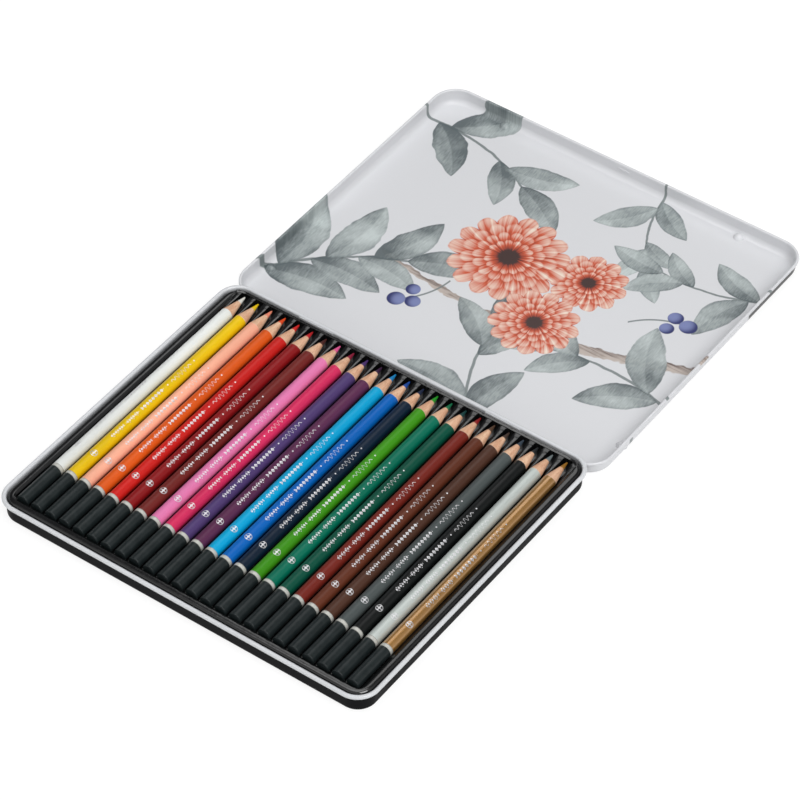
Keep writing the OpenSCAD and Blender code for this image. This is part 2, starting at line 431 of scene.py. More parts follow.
@dataclass(frozen=True)
class RingPaint:
    """Light grey band between the dip and the lacquer, with soft darker edges."""

    low: float
    high: float
    name: str = "ring_light_grey"

    def make(self) -> bpy.types.Material:
        """Makes the material.

        Returns:
            The material.
        """
        material, graph, shader = new_material(self.name, IOR=1.45, Metallic=0.15)
        _, along, _ = graph.axes(graph.place())
        middle, half = (self.low + self.high) / 2, (self.high - self.low) / 2
        edge = graph.spread(abs(along - middle), half * 0.55, half, 0, 1, smooth=True)
        speck = graph.noise(graph.place(), 2500, 3)
        grain = graph.mottle(speck, (0.4, 0.6), srgb(205, 205, 198), srgb(188, 188, 182))
        graph.dress(
            shader,
            Base_Color=graph.blend(edge * 0.6, grain, srgb(120, 121, 118)),
            Roughness=graph.spread(speck, 0.3, 0.7, 0.3, 0.45),
        )
        return material


@dataclass(frozen=True)
class PencilWood:
    """Pale pencil wood cut by a sharpener: fine grain along the pencil, faint blade rings."""

    name: str = "wood_pale"

    def make(self) -> bpy.types.Material:
        """Makes the material.

        Returns:
            The material.
        """
        material, graph, shader = new_material(self.name, IOR=1.4, Roughness=0.55)
        fibres = graph.noise(graph.place(scale=(2600, 130, 2600)), 1.0, 4, 0.6)
        bands = graph.noise(graph.place(scale=(420, 40, 420)), 1.0, 2)
        pale, tan, brown = srgb(232, 192, 160), srgb(212, 163, 131), srgb(176, 121, 92)
        body = graph.mottle(bands, (0.35, 0.65), pale, tan)
        graph.dress(
            shader,
            Base_Color=graph.mottle(fibres, (0.52, 0.75), body, brown, 0.75),
            Normal=graph.relief(fibres, 0.00008),
        )
        return material


@dataclass(frozen=True)
class WaxLead:
    """Waxy coloured lead with cut marks from the sharpener."""

    name: str
    colour: Colour
    roughness: float = 0.36

    def make(self) -> bpy.types.Material:
        """Makes the material.

        Returns:
            The material.
        """
        material, graph, shader = new_material(self.name, IOR=1.45)
        turned = graph.noise(graph.place(scale=(500, 3200, 500)), 1.0, 3)
        wax = graph.noise(graph.place(), 1800, 3)
        graph.dress(
            shader,
            Base_Color=graph.mottle(turned, (0.4, 0.7), self.colour, shade(self.colour, 0.72)),
            Roughness=graph.spread(wax, 0.3, 0.7, self.roughness - 0.08, self.roughness + 0.12),
            Normal=graph.relief(turned, 0.00006),
        )
        return material


@dataclass(frozen=True)
class HingeSteel:
    """Drawn steel wire, bright with fine lines along it."""

    name: str = "steel_wire_drawn"

    def make(self) -> bpy.types.Material:
        """Makes the material.

        Returns:
            The material.
        """
        material, graph, shader = new_material(self.name, Metallic=1.0)
        lines = graph.noise(graph.place(scale=(120, 5000, 5000)), 1.0, 3)
        graph.dress(
            shader,
            Base_Color=graph.blend(lines, srgb(176, 178, 182), srgb(206, 208, 210)),
            Roughness=graph.spread(lines, 0.3, 0.7, 0.22, 0.4),
            Normal=graph.relief(lines, 0.00002),
        )
        return material


class Sheen(Enum):
    """How a barrel's lacquer is filled: share of metal, lowest roughness, specular level and clear coat."""

    SOLID = (0.0, 0.30, 0.35, 0.0)
    SILVER = (0.4, 0.42, 0.5, 0.0)
    GOLD = (0.6, 0.29, 1.0, 0.8)

    @property
    def metal(self) -> float:
        """Share of metal."""
        return self.value[0]

    @property
    def roughness(self) -> float:
        """Lowest roughness."""
        return self.value[1]

    @property
    def specular(self) -> float:
        """Specular level."""
        return self.value[2]

    @property
    def coat(self) -> float:
        """Weight of the clear coat."""
        return self.value[3]


@dataclass(frozen=True)
class Stamp:
    """Places of the stamped motifs along a barrel, in millimetres from its ring.

    A chain is the pitch of its links and the place of its first one.
    """

    rosette: float = 16.0
    loop: float = 1.75
    petals: float = 1.15
    small_chain: Point = (1.5, 30.0)
    bead_chain: Point = (3.0, 30.75)
    bold_chain: Point = (2.2, 53.1)
    fine: tuple[Point, Point] = ((29.3, 39.2), (40.8, 50.7))
    bold: Point = (52.8, 70.1)
    wave: Point = (76.4, 91.6)
    dots: Point = (73.4, 94.4)
    wave_pitch: float = 2.6
    soft: float = 0.06


@dataclass(frozen=True)
class Lacquer:
    """Coloured barrel lacquer with a stamped silver ornament on its upper side."""

    name: str
    colour: Colour
    centre_x: float
    centre_z: float
    radius: float
    ring_y: float
    roll: float = 0.0
    sheen: Sheen = Sheen.SOLID
    foil: Colour = srgb(236, 236, 238)
    stamp: Stamp = Stamp()

    def ornament(self, graph: Graph) -> Signal:
        """Draws the stamped ornament: a rosette, two chains and a trailing wave.

        Args:
            graph: Graph to draw in.

        Returns:
            One on the foil and zero on the lacquer.
        """
        across, along, up = graph.axes(graph.place(shift=(-self.centre_x, -self.ring_y, -self.centre_z)))
        angle = graph.maths("ARCTAN2", across, up) - self.roll
        side = angle * (self.radius * 1000)
        run = along * 1000

        def near(middle: float) -> Signal:
            """Distance from the middle of one motif, in millimetres."""
            return abs(run - middle)

        def span(low: float, high: float) -> Signal:
            """One between two places along the barrel."""
            return near((low + high) / 2).fade((high - low) / 2 - 0.02, (high - low) / 2 + 0.02)

        def dot(middle: float) -> Signal:
            """One on a dot in the middle of the row."""
            return ((run - middle).op("POWER", 2.0) + side * side).fade(0.12, 0.2)

        def chain(pitch: float, start: float) -> Signal:
            """Distance along the barrel from the nearest link of a chain."""
            return abs((run - start).op("PINGPONG", pitch / 2))

        stamp, soft = self.stamp, self.stamp.soft
        # Rosette: a diamond and four petals in a thin ring
        star = (near(stamp.rosette) * 0.8 + abs(side) * 0.8).fade(0.7, 0.7 + soft)
        radius = ((run - stamp.rosette).op("POWER", 2.0) + side * side).op("SQRT")
        loop = abs(radius - stamp.loop).fade(0.13, 0.13 + soft)
        turn = graph.maths("ARCTAN2", side, run - stamp.rosette)
        petals = (abs(radius - stamp.petals) + abs((turn * 2.0).sin()) * 0.75).fade(0.5, 0.58)
        rosette = star.most(loop).most(petals)
        # Row of small lozenges with dots beside them
        small = abs(chain(*stamp.small_chain) * 1.1 + abs(side) * 0.8 - 0.42).fade(0.2, 0.2 + soft)
        bead = chain(*stamp.bead_chain)
        beads = (bead * bead + (abs(side) - 1.05).op("POWER", 2.0)).fade(0.04, 0.09)
        fine = small.most(beads) * span(*stamp.fine[0]).most(span(*stamp.fine[1]))
        # Bold linked lozenges
        bold = abs(chain(*stamp.bold_chain) * 1.15 + abs(side) * 0.95 - 0.75).fade(0.3, 0.3 + soft)
        bold = bold.most((chain(*stamp.bold_chain) + abs(side)).fade(0.2, 0.3)) * span(*stamp.bold)
        # Trailing wave with end dots
        sway = graph.spread(near(sum(stamp.wave) / 2), 2.0, 8.0, 1.15, 0.35)
        swing = (run * (2 * math.pi / stamp.wave_pitch)).sin() * sway
        wave = abs(side - swing).fade(0.16, 0.16 + soft) * span(*stamp.wave)
        dots = dot(stamp.dots[0]).most(dot(stamp.dots[1]))
        worn = graph.spread(graph.noise(graph.place(), 2600, 3), 0.3, 0.4, 0.35, 1.0)
        return rosette.most(fine).most(bold).most(wave * 0.85).most(dots) * worn

    def make(self) -> bpy.types.Material:
        """Makes the material.

        Returns:
            The material.
        """
        material, graph, shader = new_material(
            self.name,
            IOR=1.45,
            Specular_IOR_Level=self.sheen.specular,
            Coat_Weight=self.sheen.coat,
            Coat_IOR=1.8,
            Coat_Roughness=0.16,
        )
        where = graph.place()
        drift = graph.noise(graph.place(scale=(60, 12, 60)), 1.0, 3)
        coat = graph.mottle(drift, (0.35, 0.65), self.colour, shade(self.colour, 0.86))
        if self.sheen is not Sheen.SOLID:
            coat = graph.mottle(graph.noise(where, 9000, 2), (0.4, 0.8), coat, shade(self.colour, 1.2), 0.2)
        foil = self.ornament(graph)
        smooth = self.sheen.roughness
        gloss = graph.spread(graph.noise(where, 500, 4, 0.6), 0.3, 0.7, smooth, smooth + 0.08)
        waves = graph.noise(graph.place(scale=(300, 60, 300)), 1.0, 2)
        depth, foil_depth = 0.00006 if self.sheen is Sheen.SOLID else 0.00001, 0.000006
        graph.dress(
            shader,
            Base_Color=graph.blend(foil, coat, self.foil),
            Metallic=graph.spread(foil, 0, 1, self.sheen.metal, 0.75),
            Roughness=gloss - foil * 0.02,
            Normal=graph.relief(waves - foil * (foil_depth / depth), depth),
        )
        return material


# Lid print


@dataclass(frozen=True)
class Leaf:
    """One leaf on a stalk of length one: foot of its midrib, direction, length, bow and tone."""

    x: float
    y: float
    turn: float
    length: float
    bow: float
    tone: float

    def paint(self, graph: Graph, x: Signal, y: Signal, wobble: Signal) -> tuple[Signal, Signal]:
        """Paints the leaf.

        Args:
            graph: Graph to draw in.
            x: Place along the stalk.
            y: Place across the stalk.
            wobble: Slow noise for its outline.

        Returns:
            Its cover, and its depth of colour.
        """
        cos, sin, half = math.cos(self.turn) / self.length, math.sin(self.turn) / self.length, 0.22
        foot, side = self.x * cos + self.y * sin, self.y * cos - self.x * sin
        along = graph.maths("MULTIPLY_ADD", x, cos, graph.maths("MULTIPLY_ADD", y, sin, -foot))
        across = graph.maths("MULTIPLY_ADD", y, cos / half, -side / half)
        across = graph.maths("MULTIPLY_ADD", x, -sin / half, across)
        room = (along * along.rest()).most(0.0)
        across = graph.maths("MULTIPLY_ADD", room, -self.bow, across)
        # A lens in outline, fuller near the foot
        edge = abs(across) - room.op("POWER", 0.8) * (along * -0.8 + 3.4) + 0.05
        cover = (edge + wobble * room * 0.25).fade(-0.03, 0.03)
        # One half in the light, the foot deeper, colour pooled at the rim
        halves = graph.spread(across, -0.05, 0.05, self.tone, self.tone + 0.2, smooth=True)
        rim = graph.spread(edge, -0.22, -0.03, 0.0, 0.16, smooth=True)
        return cover, halves + along.fade(0.0, 0.6) * 0.3 + rim


@dataclass(frozen=True)
class Twig:
    """A printed stalk or branch: its foot, direction, reach, bow and thickness."""

    x: float
    y: float
    turn: float
    length: float
    bow: float
    thick: float

    def spot(self, share: float) -> tuple[float, float, float]:
        """Place and heading at a share of the way along.

        Args:
            share: Share of the way from foot to end.

        Returns:
            X, Y and heading there.
        """
        along, across = share * self.length, 4 * self.bow * share * (1 - share) * self.length
        cos, sin = math.cos(self.turn), math.sin(self.turn)
        heading = self.turn + math.atan(4 * self.bow * (1 - 2 * share))
        return self.x + along * cos - across * sin, self.y + along * sin + across * cos, heading


@dataclass(frozen=True)
class Sprig:
    """Place of one printed sprig: its foot, direction in degrees, reach, tone, pairs and hand."""

    x: float
    y: float
    turn: float
    reach: float
    tone: float
    pairs: int = 2
    hand: int = 1


@dataclass(frozen=True)
class Bloom:
    """Place of one printed flower head."""

    x: float
    y: float
    radius: float
    petals: int


def new_group(
    name: str, inputs: Sequence[str], outputs: Sequence[str]
) -> tuple[Graph, bpy.types.Node, bpy.types.Node]:
    """Starts a node group whose first input is a place and whose other sockets are numbers.

    Args:
        name: Name of the group.
        inputs: Names of its inputs.
        outputs: Names of its outputs.

    Returns:
        Its graph, input node and output node.
    """
    tree = bpy.data.node_groups.new(name, "ShaderNodeTree")
    for index, title in enumerate(inputs):
        kind = "NodeSocketFloat" if index else "NodeSocketVector"
        tree.interface.new_socket(title, in_out="INPUT", socket_type=kind)
    for title in outputs:
        tree.interface.new_socket(title, in_out="OUTPUT", socket_type="NodeSocketFloat")
    return Graph(tree), tree.nodes.new("NodeGroupInput"), tree.nodes.new("NodeGroupOutput")


def lay(marks: Iterable[tuple[Signal, Signal]]) -> dict[str, Signal]:
    """Lays painted marks over each other.

    Args:
        marks: Cover and depth of colour of each mark, the lowest first.

    Returns:
        Their joint cover and tone.
    """
    (cover, tone), *others = marks
    for here, depth in others:
        tone = tone + (depth - tone) * here
        cover = cover.most(here)
    return {"Cover": cover, "Tone": tone}


def sprig_group(pairs: int) -> None:
    """Makes the node group that paints one bowed stalk of length one with narrow leaves.

    Args:
        pairs: Pairs of leaves beside the one at its end.
    """
    graph, entry, end = new_group(f"print_sprig_{pairs}", ("Place", "Wobble"), ("Stalk", "Cover", "Tone"))
    x, y, _ = graph.axes(entry.outputs[0])
    wobble = Signal(graph, entry.outputs[1])
    stalk = Twig(0.0, 0.0, 0.0, 1.0, 0.1, 0.014)
    line = abs(y - x * x.rest() * (4 * stalk.bow) + wobble * 0.004)
    line = (line + x * 0.006).fade(0.010, 0.016) * x.within()
    # Pairs of leaves, shorter and closer to the stalk towards its end
    leaves = []
    for pair in range(pairs):
        share = 0.26 + 0.5 * pair / max(1, pairs - 1)
        for side in (-1, 1):
            foot_x, foot_y, heading = stalk.spot(share + 0.04 * side)
            turn = heading + side * math.radians(54 - 18 * share)
            tone = 0.16 * ((2 * pair + side) % 3 - 1)
            leaves.append(Leaf(foot_x, foot_y, turn, 0.58 - 0.2 * share + 0.03 * side, -1.3 * side, tone))
    leaves.append(Leaf(*stalk.spot(0.97), 0.46, 0.8, 0.05))
    graph.dress(end, Stalk=line, **lay([leaf.paint(graph, x, y, wobble) for leaf in leaves]))


def bloom_group() -> None:
    """Makes the node group that paints one many-petalled flower head of radius one."""
    graph, entry, end = new_group("print_bloom", ("Place", "Petals"), ("Cover", "Tone", "Heart"))
    x, y, _ = graph.axes(entry.outputs[0])
    radius = (x * x + y * y).op("SQRT").most(0.001)
    angle = graph.maths("ARCTAN2", y, x)
    petals = Signal(graph, entry.outputs[1])
    node = graph.add("TexNoise", noise_dimensions="1D")
    graph.dress(node, W=angle * 7.0 + radius * 2.0, Scale=1.0, Detail=4.0, Roughness=0.62)
    streak = Signal(graph, node.outputs[0]) - 0.5
    wobble = (graph.noise(entry.outputs[0], 3.2, 2) - 0.5) * 0.14
    rows = []
    for row, size in enumerate((0.94, 0.75, 0.56, 0.38)):
        lobe = abs((angle * petals * 0.5 + 1.1 * row).sin())
        outline = (lobe.op("POWER", 0.55) * 0.2 + 0.8) * size + wobble * size
        here = (radius - outline).fade(-0.012, 0.012)
        lit = graph.spread(radius, 0.4 * size, size, 0.12, 0.86, smooth=True) + streak * 1.1
        rim = graph.spread(radius - outline, -0.05, 0.0, 0.0, 0.12, smooth=True)
        rows.append((here, lit - lobe.fade(0.0, 0.3) * 0.3 - rim))
    (cover, tone), *inner = rows
    for here, lit in inner:
        tone = tone * here.rest() + lit * here
    graph.dress(end, Cover=cover, Tone=tone, Heart=(radius + streak * 0.12).fade(0.15, 0.2))


def berry_group() -> None:
    """Makes the node group that paints a thin stalk of length one with three round berries."""
    graph, entry, end = new_group("print_berries", ("Place",), ("Stalk", "Cover", "Tone"))
    x, y, _ = graph.axes(entry.outputs[0])
    line = abs(y - x * x.rest() * 0.4).fade(0.012, 0.024) * x.within()
    berries = []
    for middle_x, middle_y, size in ((0.66, -0.09, 0.13), (0.80, 0.17, 0.14), (1.02, -0.02, 0.16)):
        dx, dy = (x - middle_x) / size, (y - middle_y) / size
        shine = (dx + 0.35) * (dx + 0.35) + (dy - 0.35) * (dy - 0.35)
        depth = graph.spread(shine, 0.0, 1.6, 0.0, 1.0, smooth=True)
        berries.append(((dx * dx + dy * dy).fade(0.88, 1.1), depth))
    graph.dress(end, Stalk=line, **lay(berries))


@dataclass(frozen=True)
class PrintedLid:
    """White enamel with a print in washes: sprigs, a branch, flower heads and berries."""

    name: str
    sprigs: tuple[Sprig, ...]
    branch: Twig
    blooms: tuple[Bloom, ...]
    berries: tuple[Sprig, ...]
    black_from: float = 1.0
    ground: Colour = srgb(216, 217, 220)
    stalk_green: Colour = srgb(112, 122, 122)

    def motif(
        self, graph: Graph, group: str, place: Sequence[float], reach: Point, *numbers: object
    ) -> tuple[Signal, ...]:
        """Places the node group of one motif.

        Args:
            graph: Graph to draw in.
            group: Name of the node group.
            place: X, Y and turn in radians.
            reach: Size along and across.
            numbers: The group's further inputs.

        Returns:
            The group's outputs.
        """
        node = graph.add("Group", node_tree=bpy.data.node_groups["print_" + group])
        spot = graph.place((*place[:2], 0), place[2], (*reach, 1), "TEXTURE")
        for socket, value in zip(node.inputs, (spot, *numbers)):
            graph.feed(socket, value)
        return tuple(Signal(graph, out) for out in node.outputs)

    def paint_branch(self, graph: Graph, colour: object, wobble: Signal) -> object:
        """Paints the branch in bark tones over a colour.

        Args:
            graph: Graph to draw in.
            colour: Colour under the paint, or its socket.
            wobble: Slow noise that roughens outlines.

        Returns:
            The mixed colour's socket.
        """
        line = self.branch
        spot = graph.place((line.x, line.y, 0), line.turn, (line.length, line.length, 1), "TEXTURE")
        along, across, _ = graph.axes(spot)
        thick = line.thick / line.length
        curve = along * along.rest() * (4 * line.bow) + wobble * (0.35 * thick)
        side = (across - curve) / graph.spread(along, 0, 1, thick, 0.4 * thick)
        bark = graph.noise(graph.place(turn=-line.turn, scale=(60, 700, 1)), 1.0, 3, 0.6)
        tone = side * -0.4 + graph.spread(bark, 0.3, 0.7, -0.25, 0.7)
        paint = graph.blend(tone, srgb(188, 176, 168), srgb(78, 58, 52))
        return graph.blend(abs(side).fade(0.85, 1.15) * along.within(), colour, paint)

    def paint_sprigs(self, graph: Graph, colour: object, wobble: Signal) -> object:
        """Paints the sprigs in washes of grey green over a colour.

        Args:
            graph: Graph to draw in.
            colour: Colour under the paint, or its socket.
            wobble: Slow noise that roughens outlines.

        Returns:
            The mixed colour's socket.
        """
        wash = graph.spread(graph.noise(graph.place(), 45, 3, 0.55), 0.3, 0.7, -0.34, 0.34)
        brush = graph.noise(graph.place(turn=0.7, scale=(1500, 240, 1)), 1.0, 3, 0.6)
        wash = wash + graph.spread(brush, 0.35, 0.65, -0.13, 0.13)
        for part in self.sprigs:
            place, reach = (part.x, part.y, math.radians(part.turn)), (part.reach, part.reach * part.hand)
            stalk, cover, tone = self.motif(graph, f"sprig_{part.pairs}", place, reach, wobble)
            paint = graph.blend(tone + wash + part.tone, srgb(196, 205, 204), srgb(84, 95, 98))
            colour = graph.blend(stalk * 0.9, colour, self.stalk_green)
            colour = graph.blend(cover * 0.96, colour, paint)
        return colour

    def paint_blooms(self, graph: Graph, colour: object) -> object:
        """Paints the berries in deep blue and the flower heads from maroon through rust to cream.

        Args:
            graph: Graph to draw in.
            colour: Colour under the paint, or its socket.

        Returns:
            The mixed colour's socket.
        """
        for part in self.berries:
            place = (part.x, part.y, math.radians(part.turn))
            stalk, cover, tone = self.motif(graph, "berries", place, (part.reach, part.reach))
            colour = graph.blend(stalk * 0.9, colour, self.stalk_green)
            colour = graph.blend(cover, colour, graph.blend(tone, srgb(118, 128, 176), srgb(30, 38, 100)))
        for bloom in self.blooms:
            place, reach = (bloom.x, bloom.y, 0.3 * bloom.petals), (bloom.radius, bloom.radius)
            cover, tone, heart = self.motif(graph, "bloom", place, reach, bloom.petals)
            paint = graph.mottle(tone, (0.0, 0.5), srgb(108, 38, 30), srgb(202, 82, 46))
            paint = graph.mottle(tone, (0.5, 1.05), paint, srgb(240, 222, 206))
            colour = graph.blend(cover, colour, graph.blend(heart, paint, srgb(58, 34, 30)))
        return colour

    def make(self) -> bpy.types.Material:
        """Makes the material.

        Returns:
            The material.
        """
        material, graph, shader = new_material(self.name, IOR=1.5, Coat_Weight=0.15, Coat_Roughness=0.15)
        wobble = graph.spread(graph.noise(graph.place(), 130, 2), 0.3, 0.7, -1.0, 1.0)
        colour = self.paint_sprigs(graph, self.paint_branch(graph, self.ground, wobble), wobble)
        colour = self.paint_blooms(graph, colour)
        if self.black_from < 1.0:
            _, y, _ = graph.axes(graph.place())
            edge = (self.black_from - 0.0002, self.black_from + 0.0002)
            colour = graph.mottle(y, edge, colour, srgb(12, 12, 13))
        smear = graph.noise(graph.place(scale=(25, 70, 40)), 1.0, 3)
        graph.dress(
            shader,
            Base_Color=colour,
            Roughness=graph.spread(smear, 0.15, 0.85, 0.30, 0.35, smooth=True),
            Normal=graph.relief(graph.noise(graph.place(), 900, 2), 0.00002),
        )
        return material


# Mesh helpers


def arc(centre: Point, radius: float, start: float, stop: float, steps: int) -> list[Point]:
    """Points of a circular arc in a section.

    Args:
        centre: Middle of the arc.
        radius: Radius.
        start: First angle in degrees.
        stop: Last angle in degrees.
        steps: Number of equal steps.

    Returns:
        The points, both ends included.
    """
    turns = [math.radians(start + (stop - start) * i / steps) for i in range(steps + 1)]
    return [(centre[0] + radius * math.cos(t), centre[1] + radius * math.sin(t)) for t in turns]


def draw_section(bm: BMesh, points: Iterable[Sequence[float]]) -> tuple[list[BMVert], list[BMEdge]]:
    """Draws a section as a chain of edges and numbers its points on the run layer.

    Args:
        bm: Mesh to draw in.
        points: Points in space, in order.

    Returns:
        The new vertices and edges.
    """
    run = bm.verts.layers.float.get("run") or bm.verts.layers.float.new("run")
    verts = [bm.verts.new(point) for point in points]
    for index, vert in enumerate(verts):
        vert[run] = index
    return verts, [bm.edges.new(pair) for pair in pairwise(verts)]


def close_up(bm: BMesh) -> None:
    """Merges doubled points and turns all faces outwards.

    Args:
        bm: The mesh.
    """
    bmesh.ops.remove_doubles(bm, verts=bm.verts, dist=MERGE)
    bmesh.ops.dissolve_degenerate(bm, edges=bm.edges, dist=MERGE)
    bmesh.ops.recalc_face_normals(bm, faces=bm.faces)


def carry_round(bm: BMesh, section: Sequence[Point], half: Point, radius: float, steps: int) -> None:
    """Carries a wall section round a rectangle with round corners, about the origin.

    Args:
        bm: Mesh to build in.
        section: Points as distance from a corner's centre, and height.
        half: Half width and half depth to the place where the distance equals the radius.
        radius: Corner radius.
        steps: Steps in each corner.
    """
    cx, cy = half[0] - radius, half[1] - radius
    verts, edges = draw_section(bm, [(cx + r, cy, z) for r, z in section])
    turn = {"axis": (0, 0, 1), "angle": math.pi / 2, "steps": steps, "use_merge": False}
    spun = bmesh.ops.spin(bm, geom=verts + edges, cent=(cx, cy, 0), **turn)
    last = [item for item in spun["geom_last"] if isinstance(item, BMEdge)]
    for chain, move in ((edges, (0, -cy, 0)), (last, (-cx, 0, 0))):
        grown = bmesh.ops.extrude_edge_only(bm, edges=chain)["geom"]
        bmesh.ops.translate(bm, vec=move, verts=[v for v in grown if isinstance(v, BMVert)])
    for axis in "XY":
        bmesh.ops.mirror(bm, geom=bm.verts[:] + bm.edges[:] + bm.faces[:], merge_dist=MERGE, axis=axis)
    bmesh.ops.remove_doubles(bm, verts=bm.verts, dist=MERGE)


def fill_loops(bm: BMesh, numbers: Iterable[int]) -> None:
    """Closes the open loops whose points carry one of the section's numbers.

    Args:
        bm: The mesh.
        numbers: Numbers of the section's points.
    """
    run = bm.verts.layers.float["run"]
    for number in numbers:
        rim = [e for e in bm.edges if e.is_boundary and all(abs(v[run] - number) < 0.01 for v in e.verts)]
        bmesh.ops.contextual_create(bm, geom=rim)


def turn_section(bm: BMesh, section: Sequence[Point], x: float, z: float, steps: int) -> None:
    """Turns a section fully about a line along Y.

    Args:
        bm: Mesh to build in.
        section: Points as place along Y, and radius.
        x: X of the line.
        z: Z of the line.
        steps: Steps of the full turn.
    """
    verts, edges = draw_section(bm, [(x, y, z + r) for y, r in section])
    turn = {"axis": (0, 1, 0), "angle": 2 * math.pi, "steps": steps, "use_merge": True}
    bmesh.ops.spin(bm, geom=verts + edges, cent=(x, 0, z), **turn)
    close_up(bm)


def paint_by_run(bm: BMesh, zones: Sequence[int]) -> None:
    """Gives each face the material number of the section's segment that made it.

    Args:
        bm: The mesh.
        zones: Material number of each of the section's segments.
    """
    run = bm.verts.layers.float["run"]
    for face in bm.faces:
        place = sum(v[run] for v in face.verts) / len(face.verts)
        face.material_index = zones[min(len(zones) - 1, max(0, int(place)))]


def make_piece(
    bm: BMesh,
    name: str,
    materials: Sequence[bpy.types.Material],
    body: str,
    replaced: Sequence[str],
    crease: float = 35.0,
) -> bpy.types.Object:
    """Turns a mesh into a finished piece of the object.

    Args:
        bm: The mesh, freed afterwards.
        name: Name of the piece.
        materials: Its materials, in the order of the faces' numbers.
        body: Body that it moves with.
        replaced: Solids that it stands for.
        crease: Angle in degrees past which an edge stays sharp.

    Returns:
        The piece's object.
    """
    for face in bm.faces:
        face.smooth = True
    for edge in bm.edges:
        edge.smooth = edge.calc_face_angle(0.0) < math.radians(crease)
    mesh = bpy.data.meshes.new(name)
    bm.to_mesh(mesh)
    bm.free()
    piece = bpy.data.objects.new(name, mesh)
    bpy.context.scene.collection.objects.link(piece)
    for material in materials:
        mesh.materials.append(material)
    weighted = piece.modifiers.new("flat faces stay flat", "WEIGHTED_NORMAL")
    weighted.keep_sharp = True
    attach(piece, body)
    if replaced:
        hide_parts(*replaced)
    LOG.info("%s: %d faces on %s", name, len(mesh.polygons), body)
    return piece


# Base


@dataclass
class TinBase:
    """Drawn base pan: floor, rounded foot, wall and a curled edge rolled outwards."""

    sheet: float = 0.0003
    curl: float = 0.0023
    foot: float = 0.0025
    corner: float = 0.010
    roll_stop: float = -148.0
    corner_steps: int = 20

    def section(self, height: float) -> tuple[list[Point], list[int]]:
        """Section of the pan from the inside of the floor round to its underside.

        Args:
            height: Height of the curl's top.

        Returns:
            The points, and for each segment 0 for the white side and 1 for the black side.
        """
        r, s, c = self.corner, self.sheet, self.curl / 2
        foot = (r + s - self.foot, self.foot)
        roll = (r + c, height - c)
        white = [(r * 0.3, s)] + arc(foot, self.foot - s, -90, 0, 6) + arc(roll, c, 180, self.roll_stop, 26)
        black = arc(roll, c - s, self.roll_stop, 180, 20) + arc(foot, self.foot, 0, -90, 6) + [(r * 0.3, 0.0)]
        return white + black, [0] * (len(white) - 1) + [1] * len(black)

    def build(self) -> bpy.types.Object:
        """Builds and dresses the pan in place of its solid.

        Returns:
            The piece's object.
        """
        _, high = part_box("base_pan")
        half = (high.x - self.curl, high.y - self.curl)
        points, zones = self.section(high.z)
        bm = bmesh.new()
        carry_round(bm, points, half, self.corner, self.corner_steps)
        fill_loops(bm, (0, len(points) - 1))
        bmesh.ops.recalc_face_normals(bm, faces=bm.faces)
        paint_by_run(bm, zones)
        skins = [
            TinEnamel("tin_white_enamel", srgb(215, 217, 220)).make(),
            TinEnamel("tin_black_enamel", srgb(20, 20, 22), roughness=0.4, specular=0.035, coat=0.0).make(),
        ]
        return make_piece(bm, "base_tin", skins, "base", ["base_pan"])


# Tray


